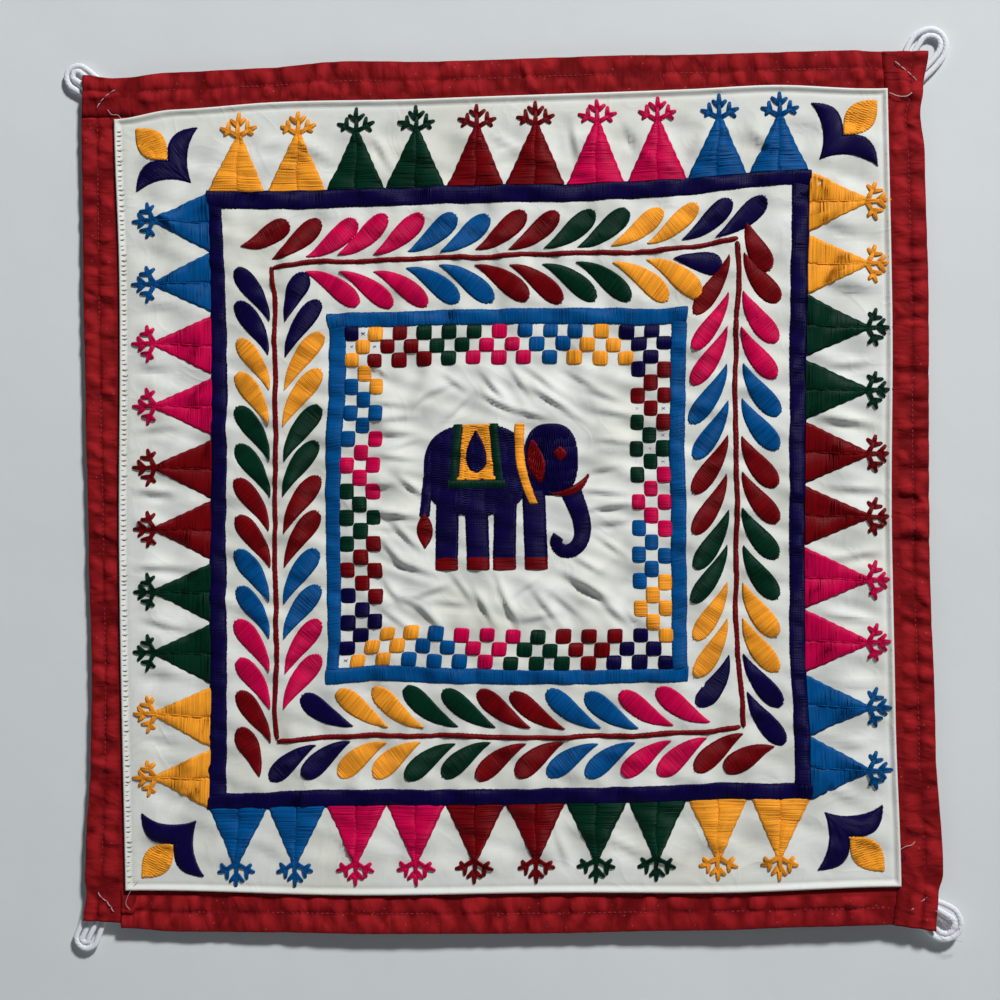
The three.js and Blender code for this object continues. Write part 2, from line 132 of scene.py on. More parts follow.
BOWS = ((0, BLUE_BOW), (FIELD, BLUE_BOW), (BLUE_OUT, BLUE_BOW), (STEM, STEM_BOW), (NAVY_IN, NAVY_IN_BOW),
        (NAVY_OUT, NAVY_OUT_BOW), (PANEL_HALF, PANEL_BOW))

# The border strips: outer fold end to end with its bow, the inner edge as corner points, how
# much of the width lies flat under the panel, and the seed of the dents
STRIPS = {
    "border_top": {
        "outer": ((-226.5, 232.5), (205.7, 230.7)),
        "bow": ((0, 0), (0.04, -2.2), (0.12, 0.2), (0.23, 0.9), (0.33, 3.2), (0.45, 1.7),
                (0.66, 2.2), (0.8, 1.2), (0.96, 1.2), (1, 0)),
        "inner": ((-227.5, 208.6), (-203, 208.6), (-190, 205.3), (207.3, 204.8)),
        "lap": 9.8,
        "dents": 3,
    },
    "border_right": {
        "outer": ((226.5, -233), (230.5, 230)),
        "bow": ((0, 0), (0.04, 1.2), (0.065, 3.8), (0.22, 0.3), (0.42, -1.6), (0.71, -1.1),
                (0.88, -2.5), (0.93, -4.6), (0.957, -3), (1, 0)),
        "inner": ((204.2, -229.9), (207.6, -204.5), (203.5, -196), (203.5, 196),
                  (207.6, 204.5), (206, 230.6)),
        "lap": 6.8,
        "dents": 5,
    },
    "border_bottom": {
        "outer": ((-209.2, -234.3), (203.9, -229.9)),
        "bow": ((0, 0), (0.08, 2.2), (0.2, 2.6), (0.34, 3.5), (0.54, 3.9), (0.76, 2.4),
                (0.9, 0.7), (1, 0)),
        "inner": ((-209.2, -213.6), (-202.6, -212.8), (-201, -206.5), (207.3, -204.8)),
        "lap": 9.8,
        "dents": 7,
    },
    "border_left": {
        "outer": ((-230.5, -230), (-227.7, 208.3)),
        "bow": ((0, 0), (0.035, -1.9), (0.05, -0.9), (0.09, -1.6), (0.2, -4.2), (0.3, -5),
                (0.46, -3.3), (0.65, -1.8), (0.8, -0.6), (1, 0)),
        "inner": ((-209.5, -231.3), (-209.5, -213.2), (-202.9, -212.3), (-202.9, 208.3)),
        "lap": 6.8,
        "dents": 9,
    },
}

# The crosswise puckers of the strips, as waves: length over 2 pi, share, and start
PUCKERS = ((5.1, 0.4, 0), (7.7, 0.35, 1.3), (17, 0.25, 0.4))
VALLEY_AT = 0.36
VALLEY = 0.32
CREST = 0.95

# The loops: a point between the legs at the cloth's edge, the direction the loop points in,
# the tip's distance, half the spread of its centre line, and the length of the round end
LOOPS = {
    "loop_tl": {"at": (-225.5, 228.6), "turn": 143, "tip": 11, "spread": 4.4, "round": 5},
    "loop_tr": {"at": (224.7, 223.9), "turn": 55, "tip": 19.4, "spread": 7.4, "round": 9},
    "loop_br": {"at": (226.6, -226.5), "turn": -35, "tip": 12.6, "spread": 6.7, "round": 7.5},
    "loop_bl": {"at": (-225.6, -230.9), "turn": -114, "tip": 14.3, "spread": 3.7, "round": 3.7},
}
CORD_WIDTH = 3.2
CORD_DEPTH = 2.4
LEG_LENGTH = 18.0
LEG_SPREAD = 3.6

# Soft ridges round the elephant, as in the frame's solid: centre x and z, direction in
# degrees, half length, half width and height
BROAD_CREASES = (
    (10, 56, 118, 14, 4.5, 1.3), (-1, 50, 62, 16, 5, 1.2), (28, 50, 140, 16, 5, 0.9),
    (-52, 12, 172, 14, 4.5, 1.2), (-52, -10, 8, 15, 5, 1.1), (-50, -34, 165, 15, 5, 0.9),
    (0, -54, 128, 17, 5, 1.4), (24, -56, 60, 13, 5, 1), (50, -44, 35, 16, 5, 1.2),
    (57, -6, 175, 12, 5, 1), (56, 22, 15, 12, 5, 0.8),
)

# Sharper creases, each a ridge with a thin trough along its lower side: first the long
# ones that run out from the elephant, then the small ones between them
FINE_CREASES = (
    (3.5, -57, 112, 13, 2.3, 1.4), (-8, -61, 120, 10, 2.3, 1.3), (48, -50.5, 150, 14, 3.2, 1.9),
    (-48, -38, 160, 13, 3, 1.6), (-47, 4.6, 142, 7, 2.3, 1.6), (-54, -10.6, 172, 11, 2.6, 1.5),
    (-50, -22, 135, 9, 2.4, 1.3), (-57, -31, 130, 9, 2.4, 1.1), (1, 48.3, 152, 9, 2.3, 1.6),
    (17, 42.5, 163, 9, 2.2, 1.1), (-22, 46, 46, 9, 1.9, 1.2), (-1, 56, 131, 8, 2.2, 1.4),
    (31.6, 48, 150, 11, 2, 1.3), (38, 42, 150, 9, 1.9, 0.9), (56, 0, 174, 10, 2.3, 1.3),
    (57, -8, 6, 11, 2.3, 1.2), (60, -29, 146, 8, 2.2, 1.1), (47, -38.5, 150, 8, 2.3, 1.1),
    (-26.6, -58, 172, 8, 3, 1.1), (60, -62, 135, 12, 3, 1.4), (62, 27, 173, 9, 2.4, 0.9),
    (62, 42, 170, 9, 2.3, 0.8), (55, 12, 10, 8, 2.2, 0.8), (61, -16, 5, 9, 2.5, 0.9),
    (-57, -66, 145, 9, 2.4, 1), (-37, -66, 133, 8, 2.4, 1), (-58, -52, 127, 10, 2.6, 0.9),
    (-59, 49, 173, 9, 2.4, 0.9), (-56, 41, 3, 9, 2.3, 0.9), (-57, 33, 1, 10, 2.3, 1),
    (-55, 20, 172, 9, 2.3, 1), (-50, 27, 20, 7, 2, 0.7), (-34, 55, 25, 10, 2.4, 0.8),
    (-44, 49, 50, 8, 2.1, 0.7), (-23, 60, 145, 9, 2.3, 0.8), (12, 60, 125, 9, 2.3, 1.1),
    (25, 60, 143, 11, 2.4, 1.1), (45, 60, 150, 10, 2.3, 0.9), (56, 52, 160, 9, 2.3, 0.8),
    (26, -62, 128, 11, 2.5, 1.1), (-20, -50, 128, 9, 2.3, 0.9), (14, -50, 35, 10, 2.1, 0.7),
    (36, -60, 140, 9, 2.4, 0.9), (-38, -52, 20, 10, 2.6, 0.8), (20, -66, 10, 9, 2.6, 0.7),
    (-64, 5, 5, 7, 2.2, 0.8), (-62, -18, 170, 8, 2.2, 0.8), (-48, -58, 150, 9, 2.4, 0.8),
)

# Creases of the outer band, which run in from the strips between the triangles
BAND_CREASES = (
    (-192, 4, 176, 13, 3.4, 1.6), (-190, -37, 178, 13, 3.4, 1.6), (-184, -68, 165, 13, 3.2, 1.4),
    (-188, -95, 178, 13, 3.2, 1.2), (-190, 38, 3, 11, 3.2, 0.9), (-190, 72, 178, 11, 3.2, 1),
    (-188, 105, 5, 11, 3.2, 0.9), (-186, -130, 170, 11, 3.2, 1.1), (-196, -14, 174, 9, 2.8, 0.8),
    (186, 107, 168, 13, 3.2, 1.2), (184, 36, 172, 13, 3.4, 1.4), (188, 66, 4, 11, 3.2, 0.9),
    (190, 0, 176, 12, 3.2, 1.1), (188, -35, 8, 12, 3.4, 1.2), (186, -68, 172, 12, 3.2, 1.1),
    (190, -103, 178, 11, 3.2, 1), (184, 138, 160, 11, 3.2, 0.9), (188, -134, 10, 10, 3.2, 0.8),
    (-97, 186, 150, 9, 2.8, 1.1), (-60, 184, 122, 9, 2.8, 1), (4, 189, 152, 9, 2.6, 1.3),
    (6, 181, 22, 9, 2.6, 1.1), (44, 186, 100, 10, 2.8, 0.9), (76, 186, 120, 10, 2.8, 1),
    (109, 184, 60, 10, 2.8, 0.9), (-123, 190, 20, 9, 2.8, 0.8), (141, 186, 130, 9, 2.8, 0.9),
    (-8, -199, 150, 9, 2.6, 1.2), (-50, -188, 60, 10, 2.8, 0.8), (-84, -190, 125, 10, 2.8, 0.8),
    (32, -190, 110, 10, 2.8, 0.9), (65, -188, 150, 10, 2.8, 0.9), (100, -190, 60, 10, 2.8, 0.8),
    (135, -196, 20, 9, 2.8, 0.8), (-118, -196, 150, 9, 2.8, 0.7), (-178, 150, 140, 10, 3, 0.8),
    (176, -158, 150, 10, 3, 0.8), (-174, -160, 40, 10, 3, 0.8), (170, 160, 30, 10, 3, 0.8),
)

# Thread colours, by the letter that the pattern's runs use
THREADS = {
    "n": ("navy", "#0a0439"),
    "b": ("blue", "#014a85"),
    "y": ("yellow", "#e8972a"),
    "g": ("green", "#022a1c"),
    "r": ("dark_red", "#670309"),
    "p": ("pink", "#bd0346"),
    "w": ("white", "#b9a2a6"),
    "k": ("seam", "#c6c6c0"),
    "f": ("strip_seam", "#8d2a33"),
    "i": ("ink", "#4a4a92"),
}

# The pattern's runs of colour, clockwise from each side's first corner
TRIANGLE_RUN = "yyggrrppbb"
LEAF_RUNS = (
    {"outer": "rrpppbbrrggyynn", "first": -144.8, "second": -126.2, "pitch": 18.57,
     "inner": "pppbbrrggyyn", "start": -108, "last": -6, "foot": 136},
    {"outer": "rrppbbrrggyynn", "first": -137, "second": -119.6, "pitch": 19.0,
     "inner": "rppbbrrggyyn", "start": -120, "last": -19, "foot": 131.5},
    {"outer": "rrppbbrrggyynn", "first": -144.6, "second": -127.4, "pitch": 19.4,
     "inner": "ppbbrrggyyn", "start": -109.8, "last": -19, "foot": 136},
    {"outer": "rrppbbrrggyynn", "first": -146.2, "second": -128.2, "pitch": 18.85,
     "inner": "ppbbrrggyynn", "start": -110, "last": -13, "foot": 136},
)

# The check band: the square that each side's first group is centred on, whether that group
# is broad at the outer edge, and the groups' colours
CHECK_RUNS = ((4, False, "rgpbyn"), (1, False, "nrgpby"), (2, True, "nrgpby"), (3, True, "nrgpby"))
CHECK_COUNT = 26
CHECK_DEEP = 3
CHECK_PITCH = 2 * BLUE_IN / CHECK_COUNT
ODD_CHECKS = {(0, 0): "n", (25, 1): "y"}

# Pen marks left on bare squares: row and column
INKED = ((0, 1), (1, 0), (1, 2), (25, 0), (6, 23), (6, 25), (8, 25), (9, 24), (10, 25), (10, 23), (25, 16))

# The triangles of each side are evenly spaced, with the tip a little past the middle. Feet
# and tips stray by up to half of TRIANGLE_STRAY.
TRIANGLE_HEIGHT = 29
TRIANGLE_HALF = 15.4
TRIANGLE_LEAN = 1
TRIANGLE_STRAY = 1.4

# The corner flowers: how far out the notch between the two petals is. A flower's own x and y
# both point out of the cloth's corner. A petal lies between two bows that meet at its tip,
# and the bud is an almond.
FLOWER_OUT = 182
PETAL_HOLLOW = ((-12, -12), (-16, 18), -4)
PETAL_CREST = ((0, 0), (-16, 18), -7)
BUD = ((1, 1), (18, 18), 7.5, -7.5)

# A sprig in its own coordinates, standing on a triangle's tip: arms and prongs end to end
SPRIG = (
    ((0, -2), (0, 8.4)), ((0, 6.6), (0, 13.2)), ((0, 6), (-4.2, 10)), ((0, 6), (4.2, 10)),
    ((0, 0.4), (-6.8, 4)), ((-4.8, 3.2), (-10.2, 5.2)), ((-5, 2.6), (-5.4, 8.6)), ((-4.8, 4), (-8.2, 0.6)),
    ((0, 0.4), (6.8, 4)), ((4.8, 3.2), (10.2, 5.2)), ((5, 2.6), (5.4, 8.6)), ((4.8, 4), (8.2, 0.6)),
)

# The elephant, in even proportions: a body a sixth wider than high, a head half as wide as the
# body and level with it on top, two mirrored pairs of straight legs, and almonds. The saddle
# cloth and its drop are centred on the body. Ovals and the drop give the centre, half width
# and half height. Almonds give two ends and the bulge of both sides. Legs give the middle at
# the top and at the foot.
BODY = (-12, 12, 28, 24)
HEAD = (28, 17, 14, 19)
EAR = ((18, 28), (22, 4), 4.5, -4.5)
EYE = ((33, 24), (33, 16), 3, -3)
TUSK = ((28, -1), (48, 9), -2, -6)
TAIL_TUFT = ((-40, -11), (-40, -29), 4, -4)
TAIL = ((-38, 8), (-40, -12))
TAIL_HALF = 2.6
LEGS = ((-27.5, -28.5), (-12.5, -11.5), (3.5, 2.5), (18.5, 19.5))
LEG_HALF = 6
LEG_TOP = 0
ANKLE = -35
SOLE = -41
NECK_BAND = ((9, 36), (16, -6), -3)
NECK_BAND_WIDTH = 5
DROP = (-12, 22, 6, 11)
SADDLE_MIDDLE = -12
SADDLE_TOP = 36
SADDLE_FOOT = 2
SADDLE_HALVES = (12, 15)
SADDLE_EDGE = 5
TRUNK_START = (38, 1)
TRUNK_LENGTH = 50
TRUNK_HALVES = (5.5, 3)
TRUNK_HEADING = -68
TRUNK_CURL = 240

# Hand stitches that hold the loops, as chains of points on the strips' corners
HAND_STITCHES = (
    ((-208, 223.5), (-211.5, 221.6), (-214.5, 219.2), (-216.8, 216.6), (-218.8, 213.3)),
    ((212.4, 225), (215.6, 222.2), (218.6, 219.4), (221.4, 217), (224, 213.6)),
    ((-213, -225.4), (-214.6, -222.6), (-217, -219.4), (-219.6, -217.6), (-221.8, -214.6)),
    ((213.2, -222), (215.6, -219.8), (218.2, -217.6), (220.8, -215.8), (223.4, -213.4)),
)

# Loose thread ends: colour and the points that each follows, with its height above the
# panel's face
LOOSE_ENDS = (
    ("w", ((-212.5, 212.5, 0.4), (-210, 209.6, 1.2), (-206.4, 209, 1.4), (-204, 206, 0.5))),
    ("k", ((209.3, 208.2, 0.4), (214, 206, 1.4), (219, 206.2, 1.2), (223, 210, 0.6))),
    ("w", ((-198, -207, 0.5), (-203, -213, 1.4), (-206, -220, 1.2), (-204, -224, 0.5))),
    ("n", ((207.6, -194, 0.2), (209.2, -192.6, 1.0), (210.4, -194.6, 1.0), (208.8, -197, 0.2))),
    ("k", ((208, -190.4, 0.2), (211, -188.4, 0.9), (214, -187.8, 0.4), (216, -186, 0))),
    ("w", ((226, -222, 0.3), (231, -226, 1.0), (236.4, -227.4, 0.2), (240, -230.2, -1.6))),
    ("w", ((227, -225, 0.3), (231, -231, 0.6), (235.4, -237, -0.6), (240, -238.6, -2.4))),
)

# The photograph's camera: fitted place, what it looks at, roll and lens
CAMERA_AT = (70.3, -909.2, -251.1)
CAMERA_AIM = (0.2, 0.0, -237.2)
CAMERA_ROLL = -0.73
CAMERA_LENS = 61.2
SENSOR = 36.0

chance = np.random.default_rng(11)


class HangingSizes(bpy.types.PropertyGroup):
    """Sizes that a maker of the hanging would choose."""

    stitch_pitch: bpy.props.FloatProperty(
        name="Stitch pitch", description="Distance between satin stitches",
        default=0.62 * MM, min=0.3 * MM, subtype="DISTANCE", unit="LENGTH")
    satin_rise: bpy.props.FloatProperty(
        name="Satin rise", description="Height of the satin stitch above the cloth",
        default=0.9 * MM, min=0.1 * MM, subtype="DISTANCE", unit="LENGTH")
    seam_pitch: bpy.props.FloatProperty(
        name="Seam pitch", description="Length of a machine stitch and its gap",
        default=2.7 * MM, min=1.5 * MM, subtype="DISTANCE", unit="LENGTH")
    ply_length: bpy.props.FloatProperty(
        name="Cord lay", description="Length over which a strand of the loop cord turns once",
        default=7.5 * MM, min=3 * MM, subtype="DISTANCE", unit="LENGTH")
    wall_gap: bpy.props.FloatProperty(
        name="Wall gap", description="Distance of the pale wall behind the panel's back",
        default=6.6 * MM, min=6 * MM, subtype="DISTANCE", unit="LENGTH")


def linear(hex_colour):
    """Linear red, green, blue and alpha of an sRGB hex colour."""
    channels = [int(hex_colour[k:k + 2], 16) / 255 for k in (1, 3, 5)]
    return [c / 12.92 if c <= 0.04045 else ((c + 0.055) / 1.055) ** 2.4 for c in channels] + [1.0]


def colour_property(name, description, hex_colour):
    return bpy.props.FloatVectorProperty(
        name=name, description=description, default=linear(hex_colour)[:3],
        size=3, min=0, max=1, subtype="COLOR")


class HangingColours(bpy.types.PropertyGroup):
    """Colours of the cloths, the cord and the threads."""

    ground: colour_property("Ground", "Panel cotton", "#dbddda")
    border: colour_property("Border", "Strip cotton", "#850b12")
    cord: colour_property("Cord", "Loop cord", "#e4e7ee")
    wall: colour_property("Wall", "Wall and floor", "#d1d6d8")
    navy: colour_property("Navy", "Thread of the wide frame", THREADS["n"][1])
    blue: colour_property("Blue", "Thread of the narrow frame", THREADS["b"][1])
    yellow: colour_property("Yellow", "Yellow thread", THREADS["y"][1])
    green: colour_property("Green", "Green thread", THREADS["g"][1])
    dark_red: colour_property("Dark red", "Thread of the stem", THREADS["r"][1])
    pink: colour_property("Pink", "Pink thread", THREADS["p"][1])
    white: colour_property("White", "Thread of the hand stitches", THREADS["w"][1])
    seam: colour_property("Seam", "Thread of the panel's seam", THREADS["k"][1])
    strip_seam: colour_property("Strip seam", "Thread of the strips' seam", THREADS["f"][1])
    ink: colour_property("Ink", "Pen marks on bare squares", THREADS["i"][1])


def along(table, f):
    """Value at the fraction f in rows of (fraction, value): between two rows it goes from one
    value to the next as half a cosine."""
    rows = np.asarray(table, float)
    f = np.clip(f, 0, 1)
    row = np.clip(np.searchsorted(rows[:, 0], f), 1, len(rows) - 1)
    part = (f - rows[row - 1, 0]) / (rows[row, 0] - rows[row - 1, 0])
    eased = (1 - np.cos(np.pi * part)) / 2
    return rows[row - 1, 1] + (rows[row, 1] - rows[row - 1, 1]) * eased


def drape(x, z):
    """Depth of the hanging's back: a roll that is a sine across times a cosine up, less a
    belly that is a parabola each way, less a lower edge that comes forward."""
    u = x / HALF_WIDTH
    down = (1 - z / HALF_HEIGHT) / 2
    belly = BELLY * (1 - u * u) * 4 * down * (1 - down)
    roll = ROLL * np.sin(x / ROLL_ACROSS + 0.5) * np.cos(z / ROLL_UP - 0.4)
    return roll - belly - LIFT * down * down - TWIST * u * down


def side_bow(s, t, reach):
    """Bow of the squares' sides, which goes linearly from each square to the next and falls
    off with the fourth power of the nearness to the side."""
    across, up = s / reach, t / reach
    halves = [half for half, _ in BOWS]
    dx, dz = 0, 0
    for k, (_, bow) in enumerate(BOWS):
        share = np.interp(reach, halves, np.arange(len(BOWS)) == k) * (k > 0)
        dx = dx + share * (along(bow["right"], (up + 1) / 2) * np.maximum(0, across) ** 4
                           - along(bow["left"], (up + 1) / 2) * np.maximum(0, -across) ** 4)
        dz = dz + share * (along(bow["top"], (across + 1) / 2) * np.maximum(0, up) ** 4
                           - along(bow["bottom"], (across + 1) / 2) * np.maximum(0, -up) ** 4)
    return dx, dz


def uneven(s, t, bowed=True):
    """Place on the cloth of the drawn point (s, t): each square's corners are pulled by their
    own amounts, shared bilinearly over the square and linearly between two squares, and its
    sides are bowed."""
    s, t = np.broadcast_arrays(np.asarray(s, float), np.asarray(t, float))
    halves = np.array([row[0] for row in PULLED])
    corners = np.array([row[1:] for row in PULLED], float)
    reach = np.maximum(np.maximum(np.abs(s), np.abs(t)), 1e-6)
    outer = np.clip(np.searchsorted(halves, reach - 1e-6), 0, len(PULLED) - 1)
    inner = np.maximum(outer - 1, 0)
    span = halves[outer] - halves[inner]
    mix = np.where(span > 0, (reach - halves[inner]) / np.where(span > 0, span, 1), 0)
    scale = np.maximum(reach, FIELD)
    right, upper = (1 + s / scale) / 2, (1 + t / scale) / 2
    left, lower = 1 - right, 1 - upper
    share = np.stack([upper * left, upper * right, lower * right, lower * left], -1)
    pull = ((1 - mix)[..., None, None] * corners[inner] + mix[..., None, None] * corners[outer])
    shift = (pull * share[..., None]).sum(-2)
    bow = side_bow(s, t, reach) if bowed else (0, 0)
    return s + shift[..., 0] + bow[0], t + shift[..., 1] + bow[1]


def creases(x, z, table, trough):
    """Sum of ridges: each is a bell curve lengthwise times a crest crosswise that falls as
    exp(-|d|^1.15), with a thin bell-shaped trough close below it, trough times as deep."""
    total = np.zeros(np.shape(x))
    for at_x, at_z, turn, long, wide, rise in table:
        c, s = math.cos(math.radians(turn)), math.sin(math.radians(turn))
        lengthwise = ((x - at_x) * c + (z - at_z) * s) / long
        crosswise = ((z - at_z) * c - (x - at_x) * s) / wide * (1 if c > 0 else -1)
        ridge = np.exp(-(np.abs(crosswise) ** 1.15)) - trough * np.exp(-(((crosswise + 1.2) / 0.65) ** 2))
        total += rise * np.exp(-(lengthwise ** 2)) * ridge
    return total


def ripples(x, z):
    """Small unevenness of washed cotton: six sine waves in different directions."""
    waves = ((0.21, 0.05, 0.3, 0.0), (-0.08, 0.19, 0.3, 1.1), (0.33, -0.21, 0.16, 2.0),
             (0.13, 0.41, 0.16, 0.7), (-0.52, 0.27, 0.1, 2.9), (0.23, 0.66, 0.08, 4.1))
    return sum(high * np.sin(kx * x + kz * z + start) for kx, kz, high, start in waves)


def puckers(x, z):
    """Gathers beside the worked lines: a wave along each square's sides, which dies away
    within a few millimetres of the line."""
    s, t = x - 3, z + 1
    reach = np.maximum(np.abs(s), np.abs(t))
    run = np.where(np.abs(s) > np.abs(t), t, s)
    total = 0
    for half, high, wave in ((NAVY_OUT + 2, 0.35, 2.9), (NAVY_IN - 2, 0.35, 2.1), (STEM, 0.4, 1.7),
                             (BLUE_OUT + 2, 0.35, 2.3), (FIELD - 2, 0.7, 2.6)):
        near = np.exp(-(((reach - half) / 6) ** 2))
        total = total + high * near * (np.sin(run / wave + half) + 0.8 * np.sin(run / (2.3 * wave)))
    dimple = np.exp(-(((reach - 188) / 12) ** 2)) * np.cos(2 * np.pi * run / TRIANGLE_PITCH)
    return total * 0.8 - 0.8 * dimple


def face(x, z):
    """Depth of the panel's face: its back, less its thickness, less every rise of the cloth."""
    s, t = x - 3, z + 1
    edge = np.clip((PANEL_HALF - 4 - np.maximum(np.abs(s), np.abs(t))) / 12, 0, 1)
    rise = (1.3 * creases(x, z, BROAD_CREASES, 0) + 1.7 * creases(x, z, FINE_CREASES, 0.6)
            + 2.0 * creases(x, z, BAND_CREASES, 0.5) + 1.9 * ripples(x, z) + 1.2 * puckers(x, z))
    return drape(x, z) - PANEL_THICK - edge * rise


def smooth(points, count, closed=False):
    """Catmull-Rom curve through the points, as count points evenly spaced along it."""
    p = np.asarray(points, float)
    if closed:
        p = np.vstack([p[-1:], p, p[:2]])
    else:
        p = np.vstack([2 * p[:1] - p[1:2], p, 2 * p[-1:] - p[-2:-1]])
    u = np.linspace(0, 1, 16, endpoint=False)[:, None]
    a, b, c, d = p[:-3, None], p[1:-2, None], p[2:-1, None], p[3:, None]
    curve = 0.5 * (2 * b + (c - a) * u + (2 * a - 5 * b + 4 * c - d) * u ** 2
                   + (3 * b - a - 3 * c + d) * u ** 3)
    curve = np.vstack([curve.reshape(-1, p.shape[1]), p[-2]])
    length = np.concatenate([[0], np.cumsum(np.linalg.norm(np.diff(curve, axis=0), axis=1))])
    goals = np.linspace(0, length[-1], count)
    return np.stack([np.interp(goals, length, curve[:, k]) for k in range(p.shape[1])], 1)


def on_side(turns, a, o):
    """The drawn point (s, t) of a place along and out from a side, turned clockwise from the
    top by quarter turns."""
    for _ in range(turns):
        a, o = o, -a
    return a, o


def make_mesh(name, points, faces, materials, slots=None, uv=None, lot=None):
    """A smooth-shaded object from points in millimetres and arrays of faces with equal
    numbers of corners. lot is a value from 0 to 1 for each point, and uv a pair for each."""
    hung = points.astype(float) - (0, 0, TOP_EDGE)
    corners = np.concatenate([f.ravel() for f in faces])
    sizes = np.concatenate([np.full(len(f), f.shape[1]) for f in faces])
    mesh = bpy.data.meshes.new(name)
    mesh.vertices.add(len(hung))
    mesh.vertices.foreach_set("co", (hung * MM).ravel())
    mesh.loops.add(len(corners))
    mesh.loops.foreach_set("vertex_index", corners.astype(np.int32))
    mesh.polygons.add(len(sizes))
    mesh.polygons.foreach_set("loop_start", np.concatenate([[0], np.cumsum(sizes)[:-1]]).astype(np.int32))
    mesh.polygons.foreach_set("use_smooth", np.ones(len(sizes), bool))
    for material in materials:
        mesh.materials.append(material)
    if slots is not None:
        mesh.polygons.foreach_set("material_index", np.asarray(slots, np.int32))
    mesh.update(calc_edges=True)
    if uv is not None:
        layer = mesh.uv_layers.new(name="lay")
        layer.data.foreach_set("uv", uv[corners].ravel())
    if lot is not None:
        mesh.attributes.new("lot", "FLOAT", "POINT").data.foreach_set("value", lot)
    piece = bpy.data.objects.new(name, mesh)
    bpy.context.collection.objects.link(piece)
    return piece


def sheet_mesh(name, front, back, materials, lot=None, lay=None):
    """A closed sheet between two grids of points with a rim of quads round its four sides."""
    rows, columns = front.shape[:2]
    index = np.arange(rows * columns).reshape(rows, columns)
    a, b, c, d = index[:-1, :-1], index[1:, :-1], index[1:, 1:], index[:-1, 1:]
    quads = np.stack([a, b, c, d], -1).reshape(-1, 4)
    ring = np.concatenate([index[:-1, 0], index[-1, :-1], index[:0:-1, -1], index[0, :0:-1]])
    after = np.roll(ring, -1)
    shift = rows * columns
    rim = np.stack([ring, ring + shift, after + shift, after], -1)
    faces = np.vstack([quads, quads[:, ::-1] + shift, rim])
    normal = np.cross(front[1:, :-1] - front[:-1, :-1], front[:-1, 1:] - front[:-1, :-1])
    out = front[:-1, :-1] - back[:-1, :-1]
    if (normal * out).sum() < 0:
        faces = faces[:, ::-1]
    points = np.vstack([front.reshape(-1, 3), back.reshape(-1, 3)])
    values = None if lot is None else np.concatenate([lot.ravel(), lot.ravel()])
    uv = None if lay is None else np.vstack([lay.reshape(-1, 2), lay.reshape(-1, 2)])
    return make_mesh(name, points, [faces], materials, uv=uv, lot=values)


def tube_faces(count, stations, sides):
    """Quads round and two caps for each of count tubes of stations rings with sides points."""
    ring = np.arange(sides)
    after = np.roll(ring, -1)
    start = np.arange(stations - 1)[:, None] * sides
    quads = np.stack([start + ring, start + after, start + after + sides, start + ring + sides], -1)
    first = (np.arange(count) * stations * sides)[:, None]
    quads = (quads.reshape(1, -1, 4) + first[..., None]).reshape(-1, 4)
    caps = np.concatenate([first + ring[::-1], first + ring + (stations - 1) * sides])
    return quads, caps


def cord_mesh(name, paths, across, deep, sides, materials, twist=0.0, plies=3, slots=None):
    """Twisted strands along paths of equal length: a round section, across by deep, whose
    radius swells by a cosine that turns with the length, so the plies wind round it."""
    count, stations = paths.shape[:2]
    ahead = np.gradient(paths, axis=1)
    ahead /= np.linalg.norm(ahead, axis=2, keepdims=True)
    aside = np.stack([-ahead[..., 2], np.zeros((count, stations)), ahead[..., 0]], -1)
    aside /= np.linalg.norm(aside, axis=2, keepdims=True)
    out = np.cross(aside, ahead)
    length = np.cumsum(np.linalg.norm(np.diff(paths, axis=1, prepend=paths[:, :1]), axis=2), axis=1)
    turn = np.arange(sides) * 2 * np.pi / sides
    swell = 1 + 0.07 * np.cos(plies * (turn - twist * length[..., None])) if twist else np.ones((1, 1, 1))
    x = across * np.cos(turn) * swell
    y = deep * np.sin(turn) * swell
    points = paths[:, :, None] + aside[:, :, None] * x[..., None] + out[:, :, None] * y[..., None]
    quads, caps = tube_faces(count, stations, sides)
    if np.einsum("ij,ij->i", points[0, 1] - points[0, 0], np.tile(ahead[0, 0], (sides, 1))).mean() < 0:
        quads, caps = quads[:, ::-1], caps[:, ::-1]
    uv = np.stack([np.broadcast_to(length[..., None], points.shape[:3]),
                   np.broadcast_to(turn * across, points.shape[:3])], -1).reshape(-1, 2)
    lot = np.repeat(chance.random(count), stations * sides)
    face_slots = None
    if slots is not None:
        face_slots = np.concatenate([np.repeat(slots, (stations - 1) * sides), np.tile(slots, 2)])
    return make_mesh(name, points.reshape(-1, 3), [quads, caps], materials, face_slots, uv, lot)


